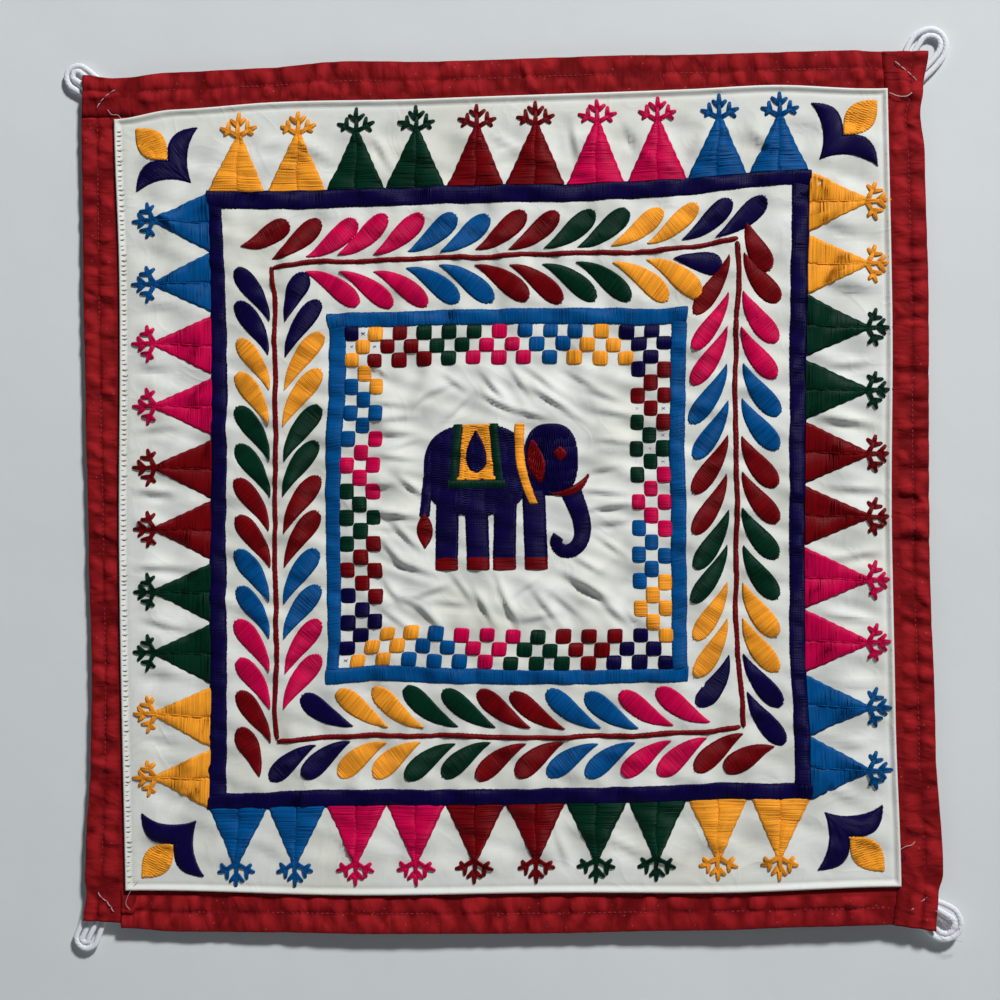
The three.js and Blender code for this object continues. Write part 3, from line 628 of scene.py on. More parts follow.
def embroider(name, batches, stations=(0, 0.12, 0.5, 0.88, 1)):
    """One piece of stitches. Each stitch is a flat three-sided tube between two places on the
    cloth. At the fraction u its ridge stands rise * (1 - 0.66 |2u - 1|^4) above the cloth,
    and it is a little narrower at its ends. Wide tubes overlap their neighbours, so smooth
    shading shows each as a rounded thread.
    A batch is (colour letter, starts, ends, width, rise, thread height)."""
    letters = list(dict.fromkeys(batch[0] for batch in batches))
    start = np.vstack([batch[1] for batch in batches])
    end = np.vstack([batch[2] for batch in batches])
    counts = [len(batch[1]) for batch in batches]
    width = np.concatenate([np.broadcast_to(b[3], c) for b, c in zip(batches, counts)])
    rise = np.concatenate([np.broadcast_to(b[4], c) for b, c in zip(batches, counts)])
    high = np.concatenate([np.broadcast_to(b[5], c) for b, c in zip(batches, counts)])
    slot = np.concatenate([np.full(c, letters.index(b[0])) for b, c in zip(batches, counts)])
    length = np.linalg.norm(end - start, axis=1)
    keep = length > 0.3
    start, end, width, rise, high, slot, length = (
        v[keep] for v in (start, end, width, rise, high, slot, length))
    total, many = len(start), len(stations)
    rise = rise * (1 + 0.12 * (chance.random(total) - 0.5))
    u = np.asarray(stations)
    crown = 1 - 0.66 * np.abs(2 * u - 1) ** 4
    plan = start[:, None] + (end - start)[:, None] * u[:, None]
    ahead = (end - start) / length[:, None]
    aside = np.stack([-ahead[:, 1], ahead[:, 0]], 1)
    half = width[:, None] / 2 * (0.1 + 0.9 * np.sqrt(crown))
    ridge = face(plan[..., 0], plan[..., 1]) - rise[:, None] * crown
    points = np.empty((total, many, 3, 3))
    for k, offset in enumerate((-1, 0, 1)):
        points[:, :, k, 0] = plan[..., 0] + offset * half * aside[:, None, 0]
        points[:, :, k, 2] = plan[..., 1] + offset * half * aside[:, None, 1]
        points[:, :, k, 1] = ridge + (high[:, None] if offset else 0)
    quads, caps = tube_faces(total, many, 3)
    uv = np.empty((total, many, 3, 2))
    uv[..., 0] = (length[:, None] * u)[..., None]
    uv[..., 1] = np.arange(3) * 0.5
    lot = np.repeat(chance.random(total), many * 3)
    slots = np.concatenate([np.repeat(slot, (many - 1) * 3), np.tile(slot, 2)])
    piece = make_mesh(name, points.reshape(-1, 3), [quads, caps], [thread(k) for k in letters],
                      slots, uv.reshape(-1, 2), lot)
    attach(piece, "root")
    return piece


def satin(letter, left, right, rise, pitch=None, width=None, jitter=0.25, high=0.34):
    """A batch of stitches that cross from one curve to another, both given as cloth places.
    Their ends stray a little lengthwise and crosswise."""
    pitch = pitch or sizes().stitch_pitch / MM
    run = (np.linalg.norm(np.diff(left, axis=0), axis=1).sum()
           + np.linalg.norm(np.diff(right, axis=0), axis=1).sum()) / 2
    count = max(int(run / pitch), 2)
    f = np.linspace(0, 1, count)
    strays = (chance.random((2, count)) - 0.5) * 0.5 / count
    ends = []
    for rail, stray in zip((left, right), strays):
        g = np.linspace(0, 1, len(rail))
        ends.append(np.stack([np.interp(f + stray, g, rail[:, k]) for k in (0, 1)], 1))
    across = ends[1] - ends[0]
    across /= np.maximum(np.linalg.norm(across, axis=1, keepdims=True), 1e-6)
    start = ends[0] - across * jitter * chance.random((count, 1))
    end = ends[1] + across * jitter * chance.random((count, 1))
    return letter, start, end, width or 2.3 * pitch, rise, high


def filled(letter, outline, angle, rise, longest=11.0, pitch=None):
    """A batch of parallel rows that fill a closed outline on the cloth. A row is cut where it
    crosses the outline, and a long one is split into stitches that start half a length
    further on in every other row, as bricks are laid."""
    pitch = pitch or sizes().stitch_pitch / MM
    loop = smooth(outline, 8 * len(outline), closed=True)[:-1]
    c, s = math.cos(math.radians(angle)), math.sin(math.radians(angle))
    u, v = loop @ (c, s), loop @ (-s, c)
    next_u, next_v = np.roll(u, -1), np.roll(v, -1)
    starts, ends = [], []
    for k, row in enumerate(np.arange(v.min() + pitch / 2, v.max(), pitch)):
        cut = (v <= row) != (next_v <= row)
        cuts = np.sort(u[cut] + (row - v[cut]) / (next_v[cut] - v[cut]) * (next_u[cut] - u[cut]))
        for low, top in zip(cuts[::2], cuts[1::2]):
            marks = np.arange(math.floor(low / longest), math.ceil(top / longest) + 1) * longest
            marks = marks + (k % 2) * longest / 2 + (chance.random(len(marks)) - 0.5) * 1.6
            inside = marks[(marks > low + 2) & (marks < top - 2)]
            stops = np.concatenate([[low], inside, [top]])
            starts += [(stop - 0.25, row) for stop in stops[:-1]]
            ends += [(stop + 0.25, row) for stop in stops[1:]]
    turn = np.array([[c, s], [-s, c]])
    return letter, np.array(starts) @ turn, np.array(ends) @ turn, 2.4 * pitch, rise, 0.26


def bow(start, end, bulge, count=40):
    """A curve from start to end that bulges to the left of its way, as a parabola."""
    start, end = np.array(start, float), np.array(end, float)
    u = np.linspace(0, 1, count)[:, None]
    ahead = (end - start) / np.linalg.norm(end - start)
    left = np.array([-ahead[1], ahead[0]])
    return start + (end - start) * u + left * bulge * 4 * u * (1 - u)


def almond(start, end, left, right):
    """A closed outline between two bows that meet at both ends."""
    return np.vstack([bow(start, end, left, 14)[:-1], bow(start, end, right, 14)[:0:-1]])


def oval(x, z, wide, high, power=2.6, count=40):
    """A closed superellipse, which is an oval with full corners."""
    turn = np.linspace(0, 2 * np.pi, count, endpoint=False)
    c, s = np.cos(turn), np.sin(turn)
    return np.stack([x + wide * np.sign(c) * np.abs(c) ** (2 / power),
                     z + high * np.sign(s) * np.abs(s) ** (2 / power)], 1)


def teardrop(x, z, wide, high, count=32):
    """A closed drop with its point up: sideways it is sin t times sin t/2, upwards cos t."""
    t = np.linspace(0, 2 * np.pi, count, endpoint=False)
    return np.stack([x + 1.3 * wide * np.sin(t) * np.sin(t / 2), z + high * np.cos(t)], 1)


def saddle_edge(side, inset, top, foot, count=24):
    """One straight side of the saddle cloth, from a height down to another."""
    z = np.linspace(top, foot, count)
    half = np.interp(z, (SADDLE_FOOT, SADDLE_TOP), SADDLE_HALVES[::-1])
    return np.stack([SADDLE_MIDDLE + side * (half - inset), z], 1)


def saddle_bars():
    """The saddle cloth's coloured edges: both sides and the bar along its foot."""
    high = 1.1
    bars = []
    for side in (-1, 1):
        rails = [saddle_edge(side, inset, SADDLE_TOP, SADDLE_FOOT + SADDLE_EDGE) for inset in (0, SADDLE_EDGE)]
        bars.append(satin("g", *rails, high))
    foot = SADDLE_HALVES[1] * np.linspace(-1, 1, 30) + SADDLE_MIDDLE
    rails = [np.stack([foot, np.full(30, SADDLE_FOOT + up)], 1) for up in (SADDLE_EDGE, 0)]
    bars.append(satin("g", *rails, high))
    return bars


def trunk_rails():
    """Both edges of the trunk. Its heading turns by the cube of the way along it, so that it
    hangs down and then curls in, and it tapers evenly."""
    u = np.linspace(0, 1, 80)
    heading = np.radians(TRUNK_HEADING - TRUNK_CURL * u ** 3)
    ahead = np.stack([np.cos(heading), np.sin(heading)], 1)
    middle = np.array(TRUNK_START) + np.cumsum(ahead, axis=0) * TRUNK_LENGTH / len(u)
    half = np.interp(u, (0, 1), TRUNK_HALVES)[:, None]
    left = np.stack([-ahead[:, 1], ahead[:, 0]], 1)
    return middle + left * half, middle - left * half


def upright(top, foot, half, count=24):
    """Both edges of a straight part from one point to another."""
    middle = np.linspace(top, foot, count)
    return middle - (half, 0), middle + (half, 0)


def running(letter, path, pitch, share, width, rise, high=0.3):
    """A batch of stitches laid end to end along a path of cloth places, each share of the
    pitch long."""
    run = np.linalg.norm(np.diff(path, axis=0), axis=1)
    length = np.concatenate([[0], np.cumsum(run)])
    marks = np.arange(pitch * 0.2, length[-1] - pitch, pitch)

    def place(at):
        return np.stack([np.interp(at, length, path[:, k]) for k in (0, 1)], 1)

    return letter, place(marks), place(marks + share * pitch), width, rise, high


def sizes():
    return bpy.context.scene.hanging_sizes


def colour(name):
    return [*getattr(bpy.context.scene.hanging_colours, name), 1.0]


def add(tree, kind, settings=None, inputs=None):
    """Adds a node with its settings. An input takes a value, or a socket to link."""
    node = tree.nodes.new(kind)
    for key, value in (settings or {}).items():
        setattr(node, key, value)
    for key, value in (inputs or {}).items():
        if isinstance(value, bpy.types.NodeSocket):
            tree.links.new(value, node.inputs[key])
        else:
            node.inputs[key].default_value = value
    return node


def new_material(name, roughness, gloss):
    """A material with its tree and its shader. Cotton has the usual index of 1.5, and gloss
    is the share of mirror reflection that its loose fibres leave."""
    material = bpy.data.materials.new(name)
    material.use_nodes = True
    shader = material.node_tree.nodes["Principled BSDF"]
    shader.inputs["Roughness"].default_value = roughness
    shader.inputs["Specular IOR Level"].default_value = gloss
    shader.inputs["IOR"].default_value = 1.5
    return material, material.node_tree, shader


def weave_height(tree, place, pitch_mm):
    """Height of a plain weave: a wave across times a wave up, both of the thread pitch. A
    wave texture repeats every 0.314 of its scaled coordinate."""
    scale = 0.314 / (pitch_mm * MM)
    wave = {"wave_type": "BANDS"}
    settle = {"Vector": place, "Scale": scale, "Distortion": 1.5, "Detail": 2.0, "Detail Scale": 0.4}
    warp = add(tree, "ShaderNodeTexWave", {**wave, "bands_direction": "X"}, settle)
    weft = add(tree, "ShaderNodeTexWave", {**wave, "bands_direction": "Z"}, settle)
    return add(tree, "ShaderNodeMath", {"operation": "MULTIPLY"},
               {0: warp.outputs["Fac"], 1: weft.outputs["Fac"]}).outputs[0]


def wrinkle_height(tree, place, scale):
    """Height of small sharp wrinkles: 1 along the winding lines where a distorted noise is
    0.5, falling off to either side, times a coarser noise that makes them come and go."""
    noise = add(tree, "ShaderNodeTexNoise", inputs={
        "Vector": place, "Scale": scale, "Detail": 1.5, "Distortion": 1.2}).outputs["Fac"]
    off = add(tree, "ShaderNodeMath", {"operation": "SUBTRACT"}, {0: noise, 1: 0.5}).outputs[0]
    size = add(tree, "ShaderNodeMath", {"operation": "ABSOLUTE"}, {0: off}).outputs[0]
    line = add(tree, "ShaderNodeMapRange", inputs={
        "Value": size, "From Max": 0.12, "To Min": 1.0, "To Max": 0.0}).outputs[0]
    fade = add(tree, "ShaderNodeTexNoise", inputs={"Vector": place, "Scale": scale * 0.4}).outputs["Fac"]
    return add(tree, "ShaderNodeMath", {"operation": "MULTIPLY"}, {0: line, 1: fade}).outputs[0]


def plain_cotton():
    """Washed plain-weave cotton, matt and off-white: faint yellowing in patches, slubs along
    the horizontal threads and small crumples. The real threads are 0.45 mm apart and too
    fine to show, so the weave is drawn at 1.1 mm."""
    material, tree, shader = new_material("plain weave cotton", 0.85, 0.2)
    place = add(tree, "ShaderNodeTexCoord").outputs["Object"]
    weave = weave_height(tree, place, 1.1)
    slub_map = add(tree, "ShaderNodeMapping", inputs={"Vector": place, "Scale": (60, 60, 700)})
    slubs = add(tree, "ShaderNodeTexNoise", inputs={
        "Vector": slub_map.outputs[0], "Scale": 1.0, "Detail": 3.0}).outputs["Fac"]
    crumple = wrinkle_height(tree, place, 44.0)
    patches = add(tree, "ShaderNodeTexNoise", inputs={
        "Vector": place, "Scale": 14.0, "Detail": 4.0, "Roughness": 0.6}).outputs["Fac"]
    ramp = add(tree, "ShaderNodeMapRange", inputs={
        "Value": patches, "From Min": 0.35, "From Max": 0.7}).outputs[0]
    aged = add(tree, "ShaderNodeMix", {"data_type": "RGBA"}, {
        0: ramp, 6: colour("ground"), 7: [c * k for c, k in zip(colour("ground"), (0.93, 0.92, 0.86, 1))]})
    thread_tone = add(tree, "ShaderNodeMapRange", inputs={
        "Value": weave, "To Min": 0.98, "To Max": 1.0}).outputs[0]
    toned = add(tree, "ShaderNodeHueSaturation", inputs={
        "Color": aged.outputs[2], "Value": thread_tone}).outputs[0]
    tree.links.new(toned, shader.inputs["Base Color"])
    fine = add(tree, "ShaderNodeMath", {"operation": "MULTIPLY_ADD"}, {0: slubs, 1: 0.6, 2: weave}).outputs[0]
    bump = add(tree, "ShaderNodeBump", inputs={"Height": fine, "Strength": 0.25, "Distance": 0.0001})
    soft = add(tree, "ShaderNodeBump", inputs={
        "Height": crumple, "Strength": 0.25, "Distance": 0.0009, "Normal": bump.outputs[0]})
    tree.links.new(soft.outputs[0], shader.inputs["Normal"])
    return material


def red_cotton():
    """Dyed plain-weave cotton with pale lint caught in the weave. Its colour carries painted
    shade in the folds and a painted highlight on the crests, which the lot attribute gives."""
    material, tree, shader = new_material("dyed red cotton", 0.8, 0.1)
    place = add(tree, "ShaderNodeTexCoord").outputs["Object"]
    base = colour("border")
    # Painted shade and painted highlight: a darker copy of the red for the folds and a lighter copy for the crests
    deep = [base[0] * 0.55, base[1] * 0.45, base[2] * 0.5, 1]
    painted_crest_highlight = [base[0] * 1.25, base[1] * 1.5 + 0.004, base[2] * 1.4 + 0.004, 1]
    # On the strips the lot attribute is painted light, high on the crests and low in the folds, with random patches
    # mixed in
    crest = add(tree, "ShaderNodeAttribute", {"attribute_name": "lot"}).outputs["Fac"]
    patches = add(tree, "ShaderNodeTexNoise", inputs={
        "Vector": place, "Scale": 55.0, "Detail": 4.0, "Roughness": 0.65}).outputs["Fac"]
    shade = add(tree, "ShaderNodeMath", {"operation": "MULTIPLY_ADD"}, {0: patches, 1: 0.9, 2: crest}).outputs[0]
    patches_and_crest_light = add(tree, "ShaderNodeMapRange", inputs={"Value": shade, "From Min": 0.5, "From Max": 1.35}).outputs[0]
    dye_and_painted_light = add(tree, "ShaderNodeMix", {"data_type": "RGBA"}, {0: patches_and_crest_light, 6: deep, 7: painted_crest_highlight})
    lint = add(tree, "ShaderNodeTexVoronoi", inputs={"Vector": place, "Scale": 190.0, "Randomness": 1.0})
    speck = add(tree, "ShaderNodeMapRange", inputs={
        "Value": lint.outputs["Distance"], "From Min": 0.03, "From Max": 0.1, "To Min": 0.35, "To Max": 0.0})
    dusty = add(tree, "ShaderNodeMix", {"data_type": "RGBA"}, {
        0: speck.outputs[0], 6: dye_and_painted_light.outputs[2], 7: linear("#b87c7c")})
    tree.links.new(dusty.outputs[2], shader.inputs["Base Color"])
    weave = weave_height(tree, place, 1.0)
    lay = add(tree, "ShaderNodeUVMap", {"uv_map": "lay"}).outputs[0]
    stretch = add(tree, "ShaderNodeMapping", inputs={"Vector": lay, "Scale": (0.14, 0.06, 1.0)})
    crumple = add(tree, "ShaderNodeTexNoise", inputs={
        "Vector": stretch.outputs[0], "Scale": 1.0, "Detail": 2.5, "Distortion": 0.6}).outputs["Fac"]
    bump = add(tree, "ShaderNodeBump", inputs={"Height": weave, "Strength": 0.3, "Distance": 0.0001})
    soft = add(tree, "ShaderNodeBump", inputs={
        "Height": crumple, "Strength": 0.7, "Distance": 0.0028, "Normal": bump.outputs[0]})
    tree.links.new(soft.outputs[0], shader.inputs["Normal"])
    return material


def thread(letter):
    """Stranded embroidery cotton: a soft gloss along the strands, and no two stitches of
    quite the same shade. Its strands twist about once a millimetre."""
    name = THREADS[letter][0]
    title = f"{name} stranded cotton"
    if title in bpy.data.materials:
        return bpy.data.materials[title]
    material, tree, shader = new_material(title, 0.42, 0.09)
    lot = add(tree, "ShaderNodeAttribute", {"attribute_name": "lot"}).outputs["Fac"]
    place = add(tree, "ShaderNodeTexCoord").outputs["Object"]
    patches = add(tree, "ShaderNodeTexNoise", inputs={"Vector": place, "Scale": 60.0, "Detail": 2.0})
    mixed = add(tree, "ShaderNodeMath", {"operation": "ADD"}, {0: lot, 1: patches.outputs["Fac"]}).outputs[0]
    value = add(tree, "ShaderNodeMapRange", inputs={
        "Value": mixed, "From Min": 0.3, "From Max": 1.7, "To Min": 0.8, "To Max": 1.22}).outputs[0]
    shade = add(tree, "ShaderNodeHueSaturation", inputs={"Color": colour(name), "Value": value})
    tree.links.new(shade.outputs[0], shader.inputs["Base Color"])
    uv = add(tree, "ShaderNodeUVMap", {"uv_map": "lay"}).outputs[0]
    strands = add(tree, "ShaderNodeTexWave", {"bands_direction": "DIAGONAL"}, {
        "Vector": uv, "Scale": 0.45, "Distortion": 1.0})
    bump = add(tree, "ShaderNodeBump", inputs={
        "Height": strands.outputs["Fac"], "Strength": 0.3, "Distance": 0.0001})
    tree.links.new(bump.outputs[0], shader.inputs["Normal"])
    return material


def soft_cord():
    """Bleached soft cotton cord: matt, bluish white, with fine fibres along its plies."""
    material, tree, shader = new_material("bleached cotton cord", 0.8, 0.2)
    uv = add(tree, "ShaderNodeUVMap", {"uv_map": "lay"}).outputs[0]
    stretch = add(tree, "ShaderNodeMapping", inputs={"Vector": uv, "Scale": (0.5, 4.0, 1.0)})
    fibres = add(tree, "ShaderNodeTexNoise", inputs={
        "Vector": stretch.outputs[0], "Scale": 1.6, "Detail": 4.0}).outputs["Fac"]
    value = add(tree, "ShaderNodeMapRange", inputs={"Value": fibres, "To Min": 0.78, "To Max": 1.1}).outputs[0]
    shade = add(tree, "ShaderNodeHueSaturation", inputs={"Color": colour("cord"), "Value": value})
    tree.links.new(shade.outputs[0], shader.inputs["Base Color"])
    bump = add(tree, "ShaderNodeBump", inputs={"Height": fibres, "Strength": 0.6, "Distance": 0.0003})
    tree.links.new(bump.outputs[0], shader.inputs["Normal"])
    return material


def pale_plaster():
    """Painted plaster, matt, with a faint trowelled unevenness. Seen from its rear it is
    clear, so that the hanging's back shows, and it casts no shadow on that back."""
    material, tree, shader = new_material("painted plaster", 0.9, 0.2)
    place = add(tree, "ShaderNodeTexCoord").outputs["Object"]
    noise = add(tree, "ShaderNodeTexNoise", inputs={"Vector": place, "Scale": 9.0, "Detail": 6.0}).outputs["Fac"]
    value = add(tree, "ShaderNodeMapRange", inputs={"Value": noise, "To Min": 0.94, "To Max": 1.04}).outputs[0]
    shade = add(tree, "ShaderNodeHueSaturation", inputs={"Color": colour("wall"), "Value": value})
    tree.links.new(shade.outputs[0], shader.inputs["Base Color"])
    bump = add(tree, "ShaderNodeBump", inputs={"Height": noise, "Strength": 0.35, "Distance": 0.004})
    tree.links.new(bump.outputs[0], shader.inputs["Normal"])
    clear = add(tree, "ShaderNodeBsdfTransparent")
    rear = add(tree, "ShaderNodeNewGeometry").outputs["Backfacing"]
    mixed = add(tree, "ShaderNodeMixShader", inputs={
        0: rear, 1: shader.outputs[0], 2: clear.outputs[0]})
    tree.links.new(mixed.outputs[0], tree.nodes["Material Output"].inputs["Surface"])
    return material


def area_light(name, at, aim, size, power, hex_colour):
    """A square soft light of that size in metres, turned to its aim."""
    lamp = bpy.data.lights.new(name, "AREA")
    lamp.size = size
    lamp.energy = power
    lamp.color = linear(hex_colour)[:3]
    holder = bpy.data.objects.new(name, lamp)
    holder.location = at
    holder.rotation_euler = (Vector(aim) - Vector(at)).to_track_quat("-Z", "Y").to_euler()
    bpy.context.collection.objects.link(holder)


class HANGING_OT_stage(bpy.types.Operator):
    """Make the pale wall and floor, the lights and the camera"""

    bl_idname = "hanging.stage"
    bl_label = "Stage"

    def execute(self, context):
        wall_y = sizes().wall_gap / MM
        bend = 120.0
        floor_z = -1900.0
        turn = np.linspace(0, np.pi / 2, 13)
        y = np.concatenate([[wall_y], wall_y - bend * (1 - np.cos(turn)), [-1900.0]])
        z = np.concatenate([[1500.0], floor_z + bend * (1 - np.sin(turn)), [floor_z]]) + TOP_EDGE
        x = np.array([-1900.0, 1900.0])
        points = np.stack(np.broadcast_arrays(x[None, :], y[:, None], z[:, None]), -1).reshape(-1, 3)
        k = np.arange(len(y) - 1) * 2
        quads = np.stack([k, k + 2, k + 3, k + 1], -1)
        wall = make_mesh("wall_and_floor", points, [quads], [pale_plaster()])
        wall.visible_shadow = False
        centre = (0.0, 0.0, -TOP_EDGE * MM)
        area_light("key light", (1.5, -2.25, 2.4), centre, 0.46, 180.0, "#fcfcfb")
        area_light("fill light", (-1.4, -2.0, -0.2), centre, 1.6, 2.2, "#eaf1ff")
        area_light("back light", (0.9, 1.5, 0.5), centre, 0.8, 9.0, "#fcfcfb")
        world = context.scene.world or bpy.data.worlds.new("World")
        context.scene.world = world
        world.use_nodes = True
        world.node_tree.nodes["Background"].inputs["Color"].default_value = linear("#d6dade")
        world.node_tree.nodes["Background"].inputs["Strength"].default_value = 0.045
        context.scene.view_settings.view_transform = "Standard"
        lens = bpy.data.cameras.new("camera")
        lens.sensor_width = SENSOR
        lens.lens = CAMERA_LENS
        camera = bpy.data.objects.new("camera", lens)
        at, aim = Vector(CAMERA_AT) * MM, Vector(CAMERA_AIM) * MM
        camera.location = at
        camera.rotation_mode = "QUATERNION"
        roll = Quaternion((0, 0, 1), math.radians(CAMERA_ROLL))
        camera.rotation_quaternion = (aim - at).to_track_quat("-Z", "Y") @ roll
        context.collection.objects.link(camera)
        context.scene.camera = camera
        return {"FINISHED"}


def panel_lines():
    """Places of the panel's grid lines: close together over the creased middle, wider out to
    the hem, and close again where the hem turns."""
    middle = np.arange(0, FIELD, 1.4)
    outside = np.arange(FIELD, PANEL_HALF - 6, 2.6)
    hem = PANEL_HALF - np.array([5.2, 4.4, 3.6, 2.8, 2.0, 1.2, 0.6, 0.2, 0])
    positive = np.concatenate([middle, outside, hem])
    return np.concatenate([-positive[:0:-1], positive])


def hem_rise(inside):
    """Height of the turned hem above the cloth: a roll near the edge that slopes down inwards,
    a sewn groove inside it and a rounded lip."""
    roll = 1.3 * np.exp(-(((inside - 0.9) / 1.3) ** 2))
    groove = 0.35 * np.exp(-(((inside - 3.6) / 0.8) ** 2))
    lip = 0.9 * np.exp(-((inside / 0.35) ** 2))
    return roll - groove - lip


class HANGING_OT_panel(bpy.types.Operator):
    """Make the ground panel with its hem, creases and puckers"""

    bl_idname = "hanging.panel"
    bl_label = "Ground panel"

    def execute(self, context):
        lines = panel_lines()
        s, t = np.meshgrid(lines, lines, indexing="ij")
        x, z = uneven(s, t)
        reach = np.maximum(np.abs(s), np.abs(t))
        base = face(x, z)
        front = np.stack([x, base - hem_rise(PANEL_HALF - reach), z], -1)
        back = np.stack([x, base + PANEL_THICK, z], -1)
        panel = sheet_mesh("panel_cloth", front, back, [plain_cotton()])
        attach(panel, "root")
        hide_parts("panel")
        return {"FINISHED"}


def strip_edges(strip, f):
    """Outer and inner edge of a strip at the fractions f of its length."""
    start, end = np.array(strip["outer"], float)
    run = np.hypot(*(end - start))
    outward = np.array([end[1] - start[1], start[0] - end[0]]) / run
    corners = np.array(strip["inner"], float)
    side = np.sign((start - corners[0]) @ outward)
    outer = start + (end - start) * f[:, None] + (along(strip["bow"], f) * side)[:, None] * outward
    axis = 1 if abs(end[1] - start[1]) > abs(end[0] - start[0]) else 0
    goal = corners[0, axis] + (corners[-1, axis] - corners[0, axis]) * f
    other = np.interp(goal, corners[:, axis], corners[:, 1 - axis])
    inner = np.stack([goal, other] if axis == 0 else [other, goal], 1)
    return outer, inner, run


# Tucks across each strip
TUCKS = 24

# Folds of the whole cloth that sink the upright strips: place, direction in degrees, length,
# width and depth
STRIP_FOLDS = (
    (221, 127, 2, 14, 3.2, 1.3), (221, 107, -3, 13, 3, 1.1), (221, 87, 3, 14, 3.2, 1.2),
    (221, 60, -4, 15, 3.6, 1.7), (221, 45, 2, 12, 2.8, 1.2), (221, 25, 4, 14, 3.2, 1.5),
    (221, 9, -3, 12, 2.6, 1.2), (221, -6, 2, 17, 4.2, 2.2), (221, -29, -2, 17, 4, 2.1),
    (221, -40, 3, 13, 3, 1.4), (221, -73, -4, 13, 3.4, 1), (221, -117, 3, 13, 3.4, 1.1),
    (221, -144, -2, 13, 3.2, 1.1), (-217, 16, 3, 12, 3.2, 1), (-217, -2, -4, 11, 3, 0.8),
    (-217, -25, 2, 12, 3.2, 1), (-217, -47, -3, 11, 3, 0.9), (-217, -69, 4, 11, 3, 0.7),
)


def dents(seed, inset, length, middle):
    """Depth of the folds that cross the sewn valley: bell curves at chance places, each long
    across the strip and narrow along it, about half of them raised. The first are tucks,
    which go right across and are all sunk."""
    own = np.random.default_rng(seed)
    total = 0
    for k in range(124):
        at, off = own.uniform(0, 460), own.normal(0, 4.2)
        turn = own.normal(0, 0.45)
        size = own.uniform(0.5, 1.9)
        long, wide, deep = 4.8 * size, 1.5 * size, own.uniform(-1.2, 1.5) * size ** 0.5
        if k < TUCKS:
            at, turn = (k + own.uniform(0.1, 0.9)) * 460 / TUCKS, 0.35 * turn
            long, wide, deep = 9 + 3 * size, 1.5 + 0.8 * size, 0.9 + 0.35 * size
        across = (inset - middle - off) * math.cos(turn) + (length - at) * math.sin(turn)
        ahead = (length - at) * math.cos(turn) - (inset - middle - off) * math.sin(turn)
        total = total + deep * np.exp(-((across / long) ** 2) - (ahead / wide) ** 2)
    return total


def strip_depth(strip, inset, width, length):
    """Depth of a strip's front layer: a crest on either side of the sewn valley, each half a
    sine wave, higher where the cloth puckers, then flat under the panel."""
    lap = strip["lap"]
    pucker = 0.5 + sum(share * np.sin(length / wave + start) for wave, share, start in PUCKERS) / 2
    valley, flat = VALLEY_AT * width, width - lap
    crest = CREST * (0.35 + 1.15 * pucker)
    outside = np.sin(np.pi * np.clip(inset / valley, 0, 1))
    inside = np.sin(np.pi * np.clip((inset - valley) / (flat - valley), 0, 1))
    seam = VALLEY * np.exp(-(((inset - valley) / 0.9) ** 2))
    cross = (0.25 * np.sin(length / 1.9 + inset * 0.35 + 2 * np.sin(length / 11))
             + 0.42 * np.sin(length / 3.4 - inset * 0.2 + 2.4 * np.sin(length / 19)))
    near = np.clip(1.15 - np.abs(inset - valley) / (0.6 * width), 0, 1)
    free = np.clip(flat - inset, 0, 1) * np.clip(inset / 1.5, 0, 1)
    folds = cross * near - dents(strip["dents"], inset, length, valley)
    return np.clip(-crest * (outside + inside) ** 0.8 + seam - folds * free, -2.6, 0.45)


def strip_surface(strip, stations):
    """Middle surface of a folded strip, from the inner edge of its front layer over the fold
    to the inner edge of its back layer, with the depth of each point plus half its sunk folds,
    which sets the red's painted shade and painted highlight, and its places along and across the strip."""
    f = np.linspace(0, 1, stations)
    outer, inner, run = strip_edges(strip, f)
    width = np.linalg.norm(inner - outer, axis=1)[:, None]
    length = (f * run)[:, None]
    lap = strip["lap"]
    valley, flat = VALLEY_AT * width, width - lap
    layer, fold = 0.35, 0.8
    q = np.array([0, 0.12, 0.28, 0.45, 0.62, 0.78, 0.9, 1])
    p = np.array([0.12, 0.26, 0.42, 0.58, 0.74, 0.88, 1])
    inset = np.hstack([width + 0 * length, width - lap / 2, flat - (flat - valley) * q,
                       valley + (fold - valley) * p])
    depth = strip_depth(strip, inset, width, length)
    arc = np.linspace(0, np.pi, 7)[1:-1]
    top, bottom = depth[:, -1:] + layer, STRIP_THICK - layer
    fold_inset = fold - (fold - layer) * np.sin(arc) + 0 * width
    fold_depth = (top + bottom) / 2 - (bottom - top) / 2 * np.cos(arc)
    back_inset = fold + (width - fold) * np.linspace(0, 1, 9)
    back_depth = bottom - 0.15 * np.exp(-(((back_inset - valley) / 1.4) ** 2))
    inset = np.hstack([inset, fold_inset, back_inset])
    depth = np.hstack([depth + layer, fold_depth, back_depth])
    share = (inset / width)[..., None]
    plan = outer[:, None] * (1 - share) + inner[:, None] * share
    sunk = creases(plan[..., 0], plan[..., 1], STRIP_FOLDS, 0)
    y = drape(plan[..., 0], plan[..., 1]) + AIR + depth + 1.2 * sunk
    lay = np.stack(np.broadcast_arrays(length, inset), -1)
    # The second value, depth plus half the sunk folds, makes the painted shade darker in the folds
    return np.stack([plan[..., 0], y, plan[..., 1]], -1), depth + 0.5 * sunk, lay


def grid_normals(grid):
    """Unit normals of a grid of points, from its differences both ways."""
    normal = np.cross(np.gradient(grid, axis=0), np.gradient(grid, axis=1))
    return normal / np.maximum(np.linalg.norm(normal, axis=2, keepdims=True), 1e-9)


